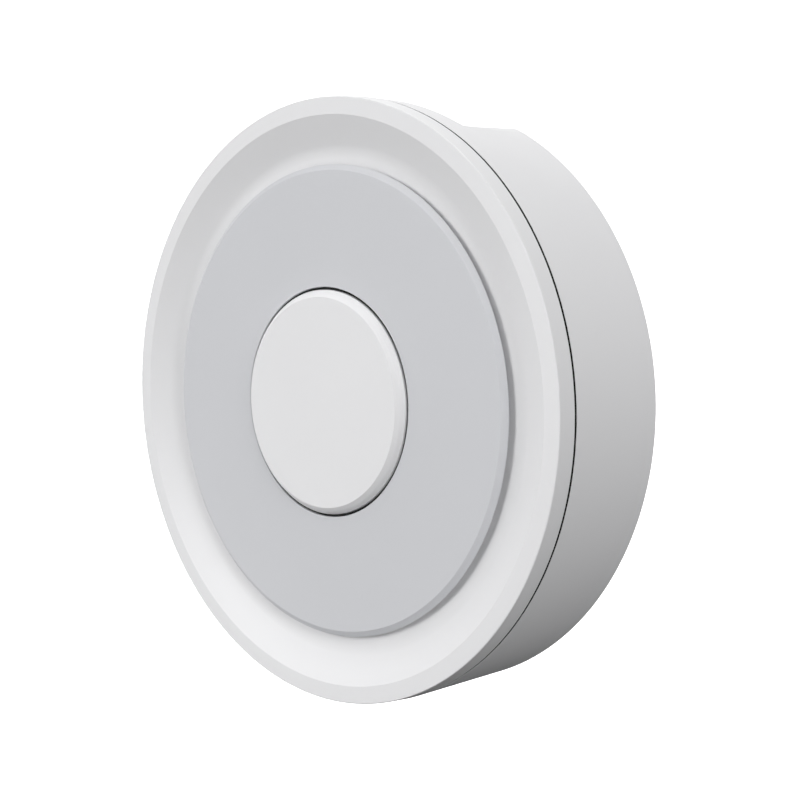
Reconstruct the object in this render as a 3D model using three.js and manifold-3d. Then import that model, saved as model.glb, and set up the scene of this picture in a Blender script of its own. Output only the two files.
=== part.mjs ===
// A battery-powered heat detector for a wall or ceiling: a round casing that twists onto a
// mounting plate, with a floating disc over its air inlet and a large test button in the middle.
// Lengths are in millimetres. The parts are laid out with the wall at height 0 and the front
// facing +Z, with Y up the wall; the whole detector is then turned so that its front faces -Y and Z is up.
import * as THREE from "three";
import { mergeVertices } from "three/addons/utils/BufferGeometryUtils.js";
import Module from "manifold-3d";

const wasm = await Module();
wasm.setup();

// ---- driving dimensions ----
const CLEARANCE = 0.3; // air between pieces that touch on the real detector
const OVERSHOOT = 1; // cutting tools run this far past the surfaces they open
const OVERLAP = 0.5; // joined solids run this far into each other
const CASE_RADIUS = 60;
const CASE_WALL = 2.2;
const WALL_GAP = 0.4; // the turning casing clears the wall by this much
const SEAM_HEIGHT = 24.9;
const SEAM_WIDTH = 0.5;
const SEAL_TOP = 26.2;
const SEAL_BACK = 23.4;
const SEAL_THICKNESS = 1;
const BEZEL_HEIGHT = 29;
const BEZEL_INNER_RADIUS = 56.25;
const BEZEL_ROUNDING = 0.25;
const FRONT_TAPER = 0.3; // the cover is this much smaller at the bezel than at the seam
const FLAT_DISTANCE = 53.45; // the flat along the top of the rear casing, from the axis
const FLAT_END_HEIGHT = 18.4; // the rear casing is fully round in front of this height
const FLAT_WALL_INSET = 0.02; // keeps the flat's wall just inside the round wall

const COVE_TILT_DEG = 26; // slope of the air channel between the floor and the bezel
const COVE_BEND_REACH = 1.4; // the bend at the foot of the slope takes this much on either side
const FLOOR_HEIGHT = 25.7;
const FLOOR_THICKNESS = 1.8;
const FLOOR_BACK = FLOOR_HEIGHT - FLOOR_THICKNESS;
const FLOOR_BACK_RADIUS = 48; // the cover's underside turns forward outside this radius
const SOUND_SLOT_INNER = 38;
const SOUND_SLOT_OUTER = 40.4;
const SOUND_SLOT_ANGLES = [183.5, 207.5, 231.5];
const SOUND_SLOT_HALF_ANGLE_DEG = 8;
const SENSOR_HOLE_RADIUS = 3.6;
const LIGHT_HOLE_RADIUS = 1.7;

const DISC_RADIUS = 46.82;
const DISC_FACE_RADIUS = 45.7;
const DISC_FACE_HEIGHT = 27.73;
const DISC_EDGE_HEIGHT = 26.98; // lower end of the bevel round the disc's rim
const DISC_RIM_THICKNESS = 0.12; // the thin upright edge under the bevel
const DISC_BACK_HEIGHT = 26.5;
const DISC_BACK_RADIUS = 45.22;
const DISC_HOLE_RADIUS = 22.85;
const DISC_POST_CIRCLE = 33;
const DISC_POST_RADIUS = 2.1;
const DISC_POST_ANGLES = [30, 150, 270];
const DISC_POST_END = FLOOR_BACK - 0.6;
const DISC_POST_OVERLAP = 0.3;
const DISC_SHOULDER_RADIUS = 4;
const DISC_SCREW_BORE = 1.1;
const DISC_BORE_SHORTFALL = 0.4; // the screw bores stop this far short of the disc's back

const BUTTON_RADIUS = 22.3;
const BUTTON_FACE_RADIUS = 20.9;
const BUTTON_FACE_HEIGHT = 29.2;
const BUTTON_EDGE_HEIGHT = 27.8; // lower end of the slope round the button's face
const BUTTON_CAP_THICKNESS = 1.5;
const BUTTON_SKIRT_END = 26.9;
const BUTTON_STEM_RADIUS = 1.6;
const LATCH_RADIUS = 9.2; // middle of the three snap legs behind the button
const LATCH_HALF_THICKNESS = 0.7;
const LATCH_HOOK_REACH = 2.4; // the hooks end this far outside the middle of the legs
const LATCH_ANGLES = [30, 150, 270];
const LATCH_HALF_ANGLE_DEG = 16;
const LATCH_HOOK_HEIGHT = 1;
const LATCH_OPENING_INNER = 7.9;
const LATCH_OPENING_OUTER = 10.8;
const LATCH_OPENING_HALF_ANGLE_DEG = 24;
const SPRING_LOW_RADIUS = 4.8;
const SPRING_HIGH_RADIUS = 7.6;
const SPRING_WIRE_RADIUS = 0.22;
const SPRING_TURNS = 2.5;

const WELL_RADIUS = 44.4; // round pocket in the back of the casing that takes the mounting plate
const WELL_DEPTH = 6.2;
const WELL_WALL = 1.8;
const WELL_TOP = WELL_DEPTH + WELL_WALL;
const PLATE_RADIUS = 41.2;
const PLATE_THICKNESS = 2.4;
const PLATE_RIM_WALL = 1.8;
const RIB_WIDTH = 1.4;
const RIB_HEIGHT = 1.4;
const RIB_OVERLAP = 0.2;
const RIB_ANGLES = [45, 135];
const HUB_OUTER = 12;
const HUB_INNER = 10.4;
const LUG_RADIUS = 43.7;
const LUG_HEIGHT = 3.4;
const LUG_THICKNESS = 1.6;
const LUG_TOP = LUG_HEIGHT + LUG_THICKNESS;
const LUG_HALF_ANGLE_DEG = 6.5;
const LUG_ANGLES = [90, 210, 330];
const LUG_ROOT = 1; // the plate's lugs run this far into its rim
const STOP_BACK = 0.8;
const STOP_TURN_DEG = 2.2; // middle of a stop, past the end of its lug
const STOP_HALF_ANGLE_DEG = 1.6;
const CATCH_HEIGHT = 1.4; // the casing's own lugs, which sit between the plate's lugs and the wall
const CATCH_THICKNESS = 1.6;
const CATCH_INNER_RADIUS = 41.7;
const SLOT_CIRCLE = 30;
const SLOT_ANGLES = [0, 180];
const SLOT_WIDTH = 4.6;
const SLOT_LENGTH = 10;

const BOARD_HEIGHT = 13.2;
const BOARD_THICKNESS = 1.6;
const BOARD_TOP = BOARD_HEIGHT + BOARD_THICKNESS;
const BOARD_RADIUS = 50;
const BOARD_CUT_ABOVE = 20.5; // the board ends here to leave room for the cell
const BOARD_SCREWS = [[-42, 8], [42, 8], [0, -44]];
const BOARD_SCREW_HOLE = 1.4;
const BOARD_NOTCH_RADIUS = 5;
const BOARD_POST_RADIUS = 2.6;
const BOARD_POST_BORE = 1.2;

const CELL_RADIUS = 7.25;
const CELL_LENGTH = 50.5;
const CELL_Y = 30;
const CELL_AXIS_HEIGHT = 16;
const CELL_EDGE = 0.6;
const CELL_CAP_RADIUS = 2.8;
const CELL_CAP_LENGTH = 1.2;
const CRADLE_END_WALL = 1.2;
const CRADLE_SIDE_WALL = 1.6;
const CRADLE_WINDOW_LENGTH = 34.5;
const CRADLE_WINDOW_WIDTH = 10.5;
const TAB_THICKNESS = 0.4;
const TAB_WIDTH = 5;
const TAB_OFFSET = 1.9; // from the end of the cell to the middle of its tab
const TAB_TOP = 18.4;
const TAB_ARM_START = 16;
const TAB_ARM_END = 32;
const TAB_ARM_HEIGHT = 2.3;
const TAB_FOOT_Y = 17.4;
const TAB_FOOT_WIDTH = 4;
const TAB_FOOT_DEPTH = 3;

const SOUNDER_X = -27;
const SOUNDER_Y = -14;
const SOUNDER_RADIUS = 19;
const SOUNDER_WALL = 1.2;
const SOUNDER_LENGTH = 6.6;
const SOUNDER_BACK = FLOOR_BACK - CLEARANCE - SOUNDER_LENGTH;
const SOUNDER_PORT_INNER = 37.6;
const SOUNDER_PORT_OUTER = 40;
const SOUNDER_PORT_DEPTH = 3;
const SOUNDER_PORT_ANGLES = [197.5, 217.5];
const SOUNDER_PORT_HALF_ANGLE_DEG = 5;
const PIEZO_RADIUS = 17.4;
const PIEZO_THICKNESS = 0.4;
const PIEZO_PLATE_DEPTH = 1.2; // from the chamber's open end in to the brass plate
const CERAMIC_RADIUS = 12.18;
const CERAMIC_DEPTH = 0.5;
const CONTACT_WIRE_RADIUS = 0.3;
const CONTACT_CENTRE = { reach: 5.22, tip: 16.8 };
const CONTACT_EDGE = { reach: 14.79, tip: 17.5 };
const CONTACT_FOOT = { lean: 3, rise: 0.6 };
const CONTACT_ELBOW = { lean: 1.6, rise: 0.7 };
const CONTACT_TIP_GAP = 0.4;

const CASE_SCREW_CIRCLE = 51.5;
const CASE_SCREW_ANGLES = [20, 160, 270];
const CASE_SCREW_BORE = 1.7;
const CASE_SCREW_HEAD_BORE = 3.2;
const CASE_SCREW_SEAT = 7;
const REAR_BOSS_RADIUS = 4.4;
const REAR_BOSS_END = 12.7;
const COVER_BOSS_RADIUS = 3.1;
const COVER_BOSS_END = 13;
const CASE_SCREW = { head: 2.8, shank: 1.35, headHeight: 2, length: 14 };
const BOARD_SCREW = { head: 2.2, shank: 0.85, headHeight: 1.5, length: 5.5 };
const DISC_SCREW = { head: 3, shank: 0.75, headHeight: 1.3, length: 2.6 };
const SCREW_CROSS_WIDTH = 0.6;
const SCREW_CROSS_DEPTH = 0.7;
const SCREW_TAPER = 1;

const THERMISTOR_X = 26;
const THERMISTOR_Y = -34;
const THERMISTOR_BEAD = { radius: 1.1, stretch: 1.25, depth: 0.9 };
const THERMISTOR_LEG_RADIUS = 0.25;
const THERMISTOR_LEG_SPREAD = 0.7;
const SLEEVE = { inner: 1.4, outer: 3.2, low: 19.9, high: 23.3 };
const LIGHT_X = 25.6; // the light guide's leg, over the status light
const LIGHT_RING_OUTER = 26.6;
const LIGHT_RING_INNER = 23.45;
const LIGHT_RING_GAP = 0.2; // air between the light guide's ring and its neighbours
const LIGHT_LEG_RADIUS = 1.3;
const LIGHT_LEG_END = 2.6; // above the board
const SWITCH_WIDTH = 6.2;
const SWITCH_HEIGHT = 3.3;
const SWITCH_COLLAR = { radius: 2.6, low: 3, high: 3.8 };
const SWITCH_BORE = { radius: 1.9, low: 1.1, high: 5 };
const PLUNGER = { radius: 1.55, low: 2.6, high: 5.1 };
const STEM_END = 5.4; // above the board
const PIN = { width: 0.4, reach: 1, thickness: 0.5 }; // one pin of a chip
const CHIP_LIFT = 0.2;
const BOBBIN_FLANGE = 0.8;
const BOBBIN_WAIST = 0.8; // the winding's radius as a share of the flange's
const CAN_LIP = 0.3;
const ANTENNA = { radius: 47, start: -62, end: 4, step: 6, rise: 3, wire: 0.4 };
const ANTENNA_FOOT = { radius: 46.6, angle: -66, rise: 0.7 };

// what stands on the board: middle x and y, and sizes
const CHIPS = {
  microcontroller: { width: 9, depth: 7, height: 1.4, pins: 10, x: 18, y: 10 },
  radio_chip: { width: 6, depth: 5, height: 1.2, pins: 6, x: 34, y: -6 },
  sounder_driver: { width: 5, depth: 4, height: 1.4, pins: 4, x: 8, y: -12 },
};
const RADIO_SHIELD = { width: 13, depth: 11, high: 2.6, x: 33, y: -20 };
const CRYSTAL = { width: 3.2, depth: 2.5, high: 1.1, x: 18, y: 2.5 };
const BOBBINS = {
  boost_inductor: { radius: 4, height: 5, x: 8, y: -24 },
  sounder_transformer: { radius: 4.6, height: 6.5, x: -7, y: -38 },
};
const CANS = {
  reservoir_capacitor: { radius: 4, height: 7.6, x: 12, y: -36 },
  filter_capacitor: { radius: 2.5, height: 5.4, x: -20, y: 12 },
};
const STATUS_LIGHT = { radius: 1.2, height: 1.8, x: LIGHT_X, y: 0, lip: 0.6 };

const RING_SEGMENTS = 64;
const PLATE_SEGMENTS = 56;
const SOUNDER_SEGMENTS = 40;
const HUB_SEGMENTS = 32;
const CELL_SEGMENTS = 28;
const CAN_SEGMENTS = 24;
const SCREW_SEGMENTS = 16;
const SMALL_SEGMENTS = 14;
const LEG_SEGMENTS = 8;
const WIRE_SIDES = 6;
const BEAD_BANDS = 10;
const ARC_STEPS = 3;
const SLOT_END_STEPS = 5;
const BEND_STEPS = 4;
const SPRING_STEPS = 56;
const CONTACT_STEPS = 10;
const ANTENNA_STEPS = 40;
const MERGE_DISTANCE = 1e-4;

// ---- materials ----
const MATERIALS = {
  housing_white: { color: 0xe7e7e8, roughness: 0.5, metalness: 0 },
  disc_grey: { color: 0xcecfd1, roughness: 0.5, metalness: 0 },
  seal_black: { color: 0x1c1c1e, roughness: 0.8, metalness: 0 },
  plate_white: { color: 0xdddddc, roughness: 0.6, metalness: 0 },
  clear_acrylic: { color: 0xdfe8ec, roughness: 0.1, metalness: 0 },
  smoked_acrylic: { color: 0x262628, roughness: 0.1, metalness: 0 },
  board_green: { color: 0x14532f, roughness: 0.4, metalness: 0 },
  black_plastic: { color: 0x161618, roughness: 0.5, metalness: 0 },
  steel: { color: 0xb8babd, roughness: 0.3, metalness: 1 },
  brass: { color: 0xc9a24a, roughness: 0.35, metalness: 1 },
  copper: { color: 0xb9693c, roughness: 0.35, metalness: 1 },
  ceramic_white: { color: 0xe9e6dc, roughness: 0.5, metalness: 0 },
  cell_wrap: { color: 0x3f5f8a, roughness: 0.35, metalness: 0 },
  glass_bead: { color: 0x30343a, roughness: 0.15, metalness: 0 },
};

const detector = new THREE.Group();
detector.rotation.x = Math.PI / 2;

/** Puts one piece of the detector in the scene. */
function addPiece(name, solid, material) {
  const mesh = new THREE.Mesh(meshGeometry(solid), new THREE.MeshStandardMaterial(MATERIALS[material]));
  mesh.name = name;
  detector.add(mesh);
}

// ---- solids ----
const radians = THREE.MathUtils.degToRad;

/** A closed triangle geometry as a solid, with shared corners merged. */
function solidFrom(geometry) {
  const bare = geometry.index ? geometry.toNonIndexed() : geometry.clone();
  bare.deleteAttribute("normal");
  bare.deleteAttribute("uv");
  const merged = mergeVertices(bare, MERGE_DISTANCE);
  const corners = merged.index.array;
  const kept = [];
  for (let i = 0; i < corners.length; i += 3) {
    const [a, b, c] = corners.slice(i, i + 3);
    if (a !== b && b !== c && c !== a) {
      kept.push(a, b, c);
    }
  }
  const vertProperties = merged.attributes.position.array;
  const triVerts = new Uint32Array(kept);
  return new wasm.Manifold(new wasm.Mesh({ numProp: 3, vertProperties, triVerts }));
}

/** A solid as triangle geometry with its normals. */
function meshGeometry(solid) {
  const mesh = solid.getMesh();
  const geometry = new THREE.BufferGeometry();
  geometry.setAttribute("position", new THREE.BufferAttribute(mesh.vertProperties, 3));
  geometry.setIndex(new THREE.BufferAttribute(mesh.triVerts, 1));
  geometry.computeVertexNormals();
  return geometry;
}

/** Joins several solids into one. */
function join(...solids) {
  return solids.reduce((all, next) => all.add(next));
}

/** Cuts several solids out of the first. */
function cut(solid, ...tools) {
  return tools.reduce((left, tool) => left.subtract(tool), solid);
}

/** A profile of [radius, height] corners turned round the detector's axis, or round (x, y). */
function revolve(profile, segments = RING_SEGMENTS, x = 0, y = 0) {
  const points = profile.map(([radius, height]) => new THREE.Vector2(radius, height));
  const onAxis = points[0].x === 0 && points[points.length - 1].x === 0;
  if (!onAxis) {
    points.push(points[0].clone());
  }
  if (THREE.ShapeUtils.area(points) < 0) {
    points.reverse();
  }
  const geometry = new THREE.LatheGeometry(points, segments);
  geometry.rotateX(Math.PI / 2);
  return solidFrom(geometry).translate([x, y, 0]);
}

/** A rod standing on height `low`. */
function rod(radius, low, high, x = 0, y = 0, segments = SMALL_SEGMENTS) {
  const geometry = new THREE.CylinderGeometry(radius, radius, high - low, segments);
  geometry.rotateX(Math.PI / 2);
  geometry.translate(x, y, (low + high) / 2);
  return solidFrom(geometry);
}

/** A tube standing on height `low`. */
function tube(outer, inner, low, high, x = 0, y = 0, segments = SMALL_SEGMENTS) {
  const profile = [[inner, low], [outer, low], [outer, high], [inner, high]];
  return revolve(profile, segments, x, y);
}

/** A box with its middle at (x, y), standing on height `low`. */
function block(width, depth, low, high, x = 0, y = 0) {
  const geometry = new THREE.BoxGeometry(width, depth, high - low);
  geometry.translate(x, y, (low + high) / 2);
  return solidFrom(geometry);
}

/** A flat outline given height. */
function prism(shape, low, high, curveSegments) {
  const depth = high - low;
  const geometry = new THREE.ExtrudeGeometry(shape, { depth, bevelEnabled: false, curveSegments });
  geometry.translate(0, 0, low);
  return solidFrom(geometry);
}

/** Part of a flat ring between two radii, centred on `angle` degrees. */
function arcBlock(inner, outer, low, high, angle, halfAngle) {
  const start = radians(angle - halfAngle);
  const end = radians(angle + halfAngle);
  const shape = new THREE.Shape();
  shape.absarc(0, 0, outer, start, end, false);
  shape.absarc(0, 0, inner, end, start, true);
  shape.closePath();
  return prism(shape, low, high, ARC_STEPS);
}

/** A slot with round ends along the line from the axis at `angle` degrees. */
function slot(length, width, low, high, radius, angle) {
  const half = (length - width) / 2;
  const shape = new THREE.Shape();
  shape.absarc(half, 0, width / 2, -Math.PI / 2, Math.PI / 2, false);
  shape.absarc(-half, 0, width / 2, Math.PI / 2, (3 * Math.PI) / 2, false);
  shape.closePath();
  return prism(shape, low, high, SLOT_END_STEPS).translate([radius, 0, 0]).rotate([0, 0, angle]);
}

/** A wire of round section along a curve. */
function wire(curve, radius, steps) {
  const shape = new THREE.Shape();
  for (let i = 0; i < WIRE_SIDES; i += 1) {
    const turn = (2 * Math.PI * i) / WIRE_SIDES;
    const corner = [radius * Math.cos(turn), radius * Math.sin(turn)];
    if (i === 0) {
      shape.moveTo(...corner);
    } else {
      shape.lineTo(...corner);
    }
  }
  shape.closePath();
  const geometry = new THREE.ExtrudeGeometry(shape, { steps, bevelEnabled: false, extrudePath: curve });
  return solidFrom(geometry);
}

/** The point at a radius and an angle in degrees. */
function polar(radius, angle) {
  return [radius * Math.cos(radians(angle)), radius * Math.sin(radians(angle))];
}

/** Corners of a bend from one profile point to another, drawn towards `corner`. */
function roundedCorner(from, corner, to, steps = ARC_STEPS) {
  const curve = new THREE.QuadraticBezierCurve(
    new THREE.Vector2(...from),
    new THREE.Vector2(...corner),
    new THREE.Vector2(...to),
  );
  return curve.getPoints(steps).map((point) => [point.x, point.y]);
}

/** A coil of wire round the detector's axis, widening as it rises so that its turns can nest. */
class ConicalHelix extends THREE.Curve {
  constructor(lowRadius, highRadius, low, high, turns) {
    super();
    Object.assign(this, { lowRadius, highRadius, low, high, turns });
  }

  getPoint(t, target = new THREE.Vector3()) {
    const angle = 2 * Math.PI * this.turns * t;
    const radius = this.lowRadius + (this.highRadius - this.lowRadius) * t;
    const height = this.low + (this.high - this.low) * t;
    return target.set(radius * Math.cos(angle), radius * Math.sin(angle), height);
  }
}

// ---- casing ----
/** The air channel from the bezel in to the floor below the disc: a straight slope, then a soft bend. */
function covePoints() {
  const tilt = radians(COVE_TILT_DEG);
  const foot = BEZEL_INNER_RADIUS - (BEZEL_HEIGHT - FLOOR_HEIGHT) / Math.tan(tilt);
  const across = COVE_BEND_REACH * Math.cos(tilt);
  const up = COVE_BEND_REACH * Math.sin(tilt);
  const bend = roundedCorner(
    [foot + across, FLOOR_HEIGHT + up],
    [foot, FLOOR_HEIGHT],
    [foot - COVE_BEND_REACH, FLOOR_HEIGHT],
    BEND_STEPS,
  );
  return [[BEZEL_INNER_RADIUS, BEZEL_HEIGHT], ...bend];
}

/** A round tool that opens the cover's floor. */
function floorTool(radius, x = 0, y = 0) {
  return rod(radius, FLOOR_BACK - OVERSHOOT, FLOOR_HEIGHT + OVERSHOOT, x, y);
}

/** An arc-shaped tool that opens the cover's floor. */
function floorArcTool(inner, outer, angle, halfAngle) {
  return arcBlock(inner, outer, FLOOR_BACK - OVERSHOOT, FLOOR_HEIGHT + OVERSHOOT, angle, halfAngle);
}

function frontCover() {
  const wallInner = CASE_RADIUS - CASE_WALL;
  const low = SEAM_HEIGHT + SEAM_WIDTH / 2;
  const bezelOuter = CASE_RADIUS - FRONT_TAPER;
  const edge = roundedCorner(
    [bezelOuter, BEZEL_HEIGHT - BEZEL_ROUNDING],
    [bezelOuter, BEZEL_HEIGHT],
    [bezelOuter - BEZEL_ROUNDING, BEZEL_HEIGHT],
  );
  const shell = revolve([
    [0, FLOOR_BACK],
    [FLOOR_BACK_RADIUS, FLOOR_BACK],
    [BEZEL_INNER_RADIUS - FLOOR_THICKNESS, SEAL_TOP + CLEARANCE],
    [wallInner, SEAL_TOP + CLEARANCE],
    [wallInner, low],
    [CASE_RADIUS, low],
    ...edge,
    ...covePoints(),
    [0, FLOOR_HEIGHT],
  ]);
  const bosses = CASE_SCREW_ANGLES.map((angle) =>
    tube(COVER_BOSS_RADIUS, CASE_SCREW_BORE, COVER_BOSS_END, FLOOR_BACK + OVERLAP,
      ...polar(CASE_SCREW_CIRCLE, angle)));
  const postHoles = DISC_POST_ANGLES.map((angle) =>
    floorTool(DISC_POST_RADIUS + CLEARANCE, ...polar(DISC_POST_CIRCLE, angle)));
  const latchOpenings = LATCH_ANGLES.map((angle) =>
    floorArcTool(LATCH_OPENING_INNER, LATCH_OPENING_OUTER, angle, LATCH_OPENING_HALF_ANGLE_DEG));
  const soundSlots = SOUND_SLOT_ANGLES.map((angle) =>
    floorArcTool(SOUND_SLOT_INNER, SOUND_SLOT_OUTER, angle, SOUND_SLOT_HALF_ANGLE_DEG));
  return cut(
    join(shell, ...bosses),
    ...latchOpenings,
    ...postHoles,
    ...soundSlots,
    floorTool(BUTTON_STEM_RADIUS + CLEARANCE),
    floorTool(SENSOR_HOLE_RADIUS, THERMISTOR_X, THERMISTOR_Y),
    floorTool(LIGHT_HOLE_RADIUS, LIGHT_X, 0),
  );
}

/** The wall along the flat on top, which steps in from the round wall. */
function flatWall() {
  const span = 2 * CASE_RADIUS;
  const wallTop = FLAT_END_HEIGHT + CASE_WALL;
  const inside = FLAT_DISTANCE - CASE_WALL + span / 2;
  const outline = rod(CASE_RADIUS - FLAT_WALL_INSET, WALL_GAP, wallTop, 0, 0, RING_SEGMENTS);
  return outline.intersect(block(span, span, -OVERSHOOT, wallTop, 0, inside));
}

function rearHousing() {
  const inner = CASE_RADIUS - CASE_WALL;
  const high = SEAM_HEIGHT - SEAM_WIDTH / 2;
  const span = 2 * CASE_RADIUS;
  const shell = revolve([
    [0, WELL_DEPTH],
    [WELL_RADIUS, WELL_DEPTH],
    [WELL_RADIUS, WALL_GAP],
    [CASE_RADIUS, WALL_GAP],
    [CASE_RADIUS, high],
    [inner, high],
    [inner, WALL_GAP + CASE_WALL],
    [WELL_RADIUS + WELL_WALL, WALL_GAP + CASE_WALL],
    [WELL_RADIUS + WELL_WALL, WELL_TOP],
    [0, WELL_TOP],
  ]);
  const flatTool = block(span, span, -OVERSHOOT, FLAT_END_HEIGHT, 0, FLAT_DISTANCE + span / 2);
  const catches = LUG_ANGLES.map((angle) =>
    arcBlock(CATCH_INNER_RADIUS, WELL_RADIUS + OVERLAP, CATCH_HEIGHT, CATCH_HEIGHT + CATCH_THICKNESS,
      angle, LUG_HALF_ANGLE_DEG));
  const screwTubes = CASE_SCREW_ANGLES.map((angle) =>
    rod(REAR_BOSS_RADIUS, WALL_GAP, REAR_BOSS_END, ...polar(CASE_SCREW_CIRCLE, angle)));
  const screwBores = CASE_SCREW_ANGLES.flatMap((angle) => {
    const middle = polar(CASE_SCREW_CIRCLE, angle);
    return [
      rod(CASE_SCREW_HEAD_BORE, WALL_GAP - OVERSHOOT, CASE_SCREW_SEAT, ...middle),
      rod(CASE_SCREW_BORE, CASE_SCREW_SEAT - OVERSHOOT, REAR_BOSS_END + OVERSHOOT, ...middle),
    ];
  });
  const boardPosts = BOARD_SCREWS.map(([x, y]) =>
    tube(BOARD_POST_RADIUS, BOARD_POST_BORE, WELL_TOP - OVERLAP, BOARD_HEIGHT - CLEARANCE, x, y));
  const walls = join(cut(shell, flatTool), cut(flatWall(), flatTool));
  return cut(join(walls, ...catches, ...screwTubes, ...boardPosts), ...screwBores);
}

/** The black seal that closes the seam from inside. */
function seamSeal() {
  const outer = CASE_RADIUS - CASE_WALL - CLEARANCE;
  return tube(outer, outer - SEAL_THICKNESS, SEAL_BACK, SEAL_TOP, 0, 0, RING_SEGMENTS);
}

function mountingPlate() {
  const base = revolve([
    [0, 0],
    [PLATE_RADIUS, 0],
    [PLATE_RADIUS, LUG_TOP],
    [PLATE_RADIUS - PLATE_RIM_WALL, LUG_TOP],
    [PLATE_RADIUS - PLATE_RIM_WALL, PLATE_THICKNESS],
    [0, PLATE_THICKNESS],
  ]);
  const lugs = LUG_ANGLES.map((angle) =>
    arcBlock(PLATE_RADIUS - LUG_ROOT, LUG_RADIUS, LUG_HEIGHT, LUG_TOP, angle, LUG_HALF_ANGLE_DEG));
  const stops = LUG_ANGLES.map((angle) =>
    arcBlock(PLATE_RADIUS - LUG_ROOT, LUG_RADIUS, STOP_BACK, LUG_TOP,
      angle - LUG_HALF_ANGLE_DEG - STOP_TURN_DEG, STOP_HALF_ANGLE_DEG));
  const ribLow = PLATE_THICKNESS - RIB_OVERLAP;
  const ribHigh = PLATE_THICKNESS + RIB_HEIGHT;
  const ribs = RIB_ANGLES.map((angle) =>
    block(2 * (PLATE_RADIUS - LUG_ROOT), RIB_WIDTH, ribLow, ribHigh).rotate([0, 0, angle]));
  const hub = tube(HUB_OUTER, HUB_INNER, ribLow, ribHigh, 0, 0, HUB_SEGMENTS);
  const slots = SLOT_ANGLES.map((angle) =>
    slot(SLOT_LENGTH, SLOT_WIDTH, -OVERSHOOT, PLATE_THICKNESS + OVERSHOOT, SLOT_CIRCLE, angle));
  return cut(join(base, hub, ...lugs, ...stops, ...ribs), ...slots);
}

// ---- front ----
function frontDisc() {
  const plate = revolve([
    [DISC_HOLE_RADIUS, DISC_BACK_HEIGHT],
    [DISC_BACK_RADIUS, DISC_BACK_HEIGHT],
    [DISC_RADIUS, DISC_EDGE_HEIGHT - DISC_RIM_THICKNESS],
    [DISC_RADIUS, DISC_EDGE_HEIGHT],
    [DISC_FACE_RADIUS, DISC_FACE_HEIGHT],
    [DISC_HOLE_RADIUS, DISC_FACE_HEIGHT],
  ]);
  const rootHeight = DISC_BACK_HEIGHT + DISC_POST_OVERLAP;
  const posts = DISC_POST_ANGLES.map((angle) =>
    rod(DISC_POST_RADIUS, DISC_POST_END, rootHeight, ...polar(DISC_POST_CIRCLE, angle)));
  const shoulders = DISC_POST_ANGLES.map((angle) =>
    rod(DISC_SHOULDER_RADIUS, FLOOR_HEIGHT + CLEARANCE, rootHeight, ...polar(DISC_POST_CIRCLE, angle)));
  const boreEnd = DISC_BACK_HEIGHT - DISC_BORE_SHORTFALL;
  const bores = DISC_POST_ANGLES.map((angle) =>
    rod(DISC_SCREW_BORE, DISC_POST_END - OVERSHOOT, boreEnd, ...polar(DISC_POST_CIRCLE, angle)));
  return cut(join(plate, ...posts, ...shoulders), ...bores);
}

function testButton() {
  const capBack = BUTTON_FACE_HEIGHT - BUTTON_CAP_THICKNESS;
  const skirtInner = BUTTON_RADIUS - BUTTON_CAP_THICKNESS;
  const cap = revolve([
    [0, capBack],
    [skirtInner, capBack],
    [skirtInner, BUTTON_SKIRT_END],
    [BUTTON_RADIUS, BUTTON_SKIRT_END],
    [BUTTON_RADIUS, BUTTON_EDGE_HEIGHT],
    [BUTTON_FACE_RADIUS, BUTTON_FACE_HEIGHT],
    [0, BUTTON_FACE_HEIGHT],
  ]);
  const stem = rod(BUTTON_STEM_RADIUS, BOARD_TOP + STEM_END, capBack + OVERLAP);
  const hookTop = FLOOR_BACK - CLEARANCE;
  const hookLow = hookTop - LATCH_HOOK_HEIGHT;
  const legInner = LATCH_RADIUS - LATCH_HALF_THICKNESS;
  const legOuter = LATCH_RADIUS + LATCH_HALF_THICKNESS;
  const legs = LATCH_ANGLES.flatMap((angle) => [
    arcBlock(legInner, legOuter, hookLow, capBack + OVERLAP, angle, LATCH_HALF_ANGLE_DEG),
    arcBlock(legInner, LATCH_RADIUS + LATCH_HOOK_REACH, hookLow, hookTop, angle, LATCH_HALF_ANGLE_DEG),
  ]);
  return join(cap, stem, ...legs);
}

/** The coil that pushes the button back out. */
function buttonSpring() {
  const low = FLOOR_HEIGHT + CLEARANCE + SPRING_WIRE_RADIUS;
  const high = BUTTON_FACE_HEIGHT - BUTTON_CAP_THICKNESS - CLEARANCE - SPRING_WIRE_RADIUS;
  const coil = new ConicalHelix(SPRING_LOW_RADIUS, SPRING_HIGH_RADIUS, low, high, SPRING_TURNS);
  return wire(coil, SPRING_WIRE_RADIUS, SPRING_STEPS);
}

/** A dark ring behind the gap round the button, with a leg down to the status light. */
function lightGuide() {
  const low = FLOOR_HEIGHT + LIGHT_RING_GAP;
  const high = DISC_BACK_HEIGHT - LIGHT_RING_GAP;
  const ring = tube(LIGHT_RING_OUTER, LIGHT_RING_INNER, low, high, 0, 0, RING_SEGMENTS);
  const leg = rod(LIGHT_LEG_RADIUS, BOARD_TOP + LIGHT_LEG_END, (low + high) / 2, LIGHT_X, 0);
  return join(ring, leg);
}

// ---- sounder ----
/** The resonance chamber, open towards the board and drilled towards the floor's sound slots. */
function sounderChamber() {
  const high = SOUNDER_BACK + SOUNDER_LENGTH;
  const cup = revolve([
    [0, high - SOUNDER_WALL],
    [SOUNDER_RADIUS - SOUNDER_WALL, high - SOUNDER_WALL],
    [SOUNDER_RADIUS - SOUNDER_WALL, SOUNDER_BACK],
    [SOUNDER_RADIUS, SOUNDER_BACK],
    [SOUNDER_RADIUS, high],
    [0, high],
  ], SOUNDER_SEGMENTS, SOUNDER_X, SOUNDER_Y);
  const ports = SOUNDER_PORT_ANGLES.map((angle) =>
    arcBlock(SOUNDER_PORT_INNER, SOUNDER_PORT_OUTER, high - SOUNDER_PORT_DEPTH, high + OVERSHOOT,
      angle, SOUNDER_PORT_HALF_ANGLE_DEG));
  return cut(cup, ...ports);
}

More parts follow.
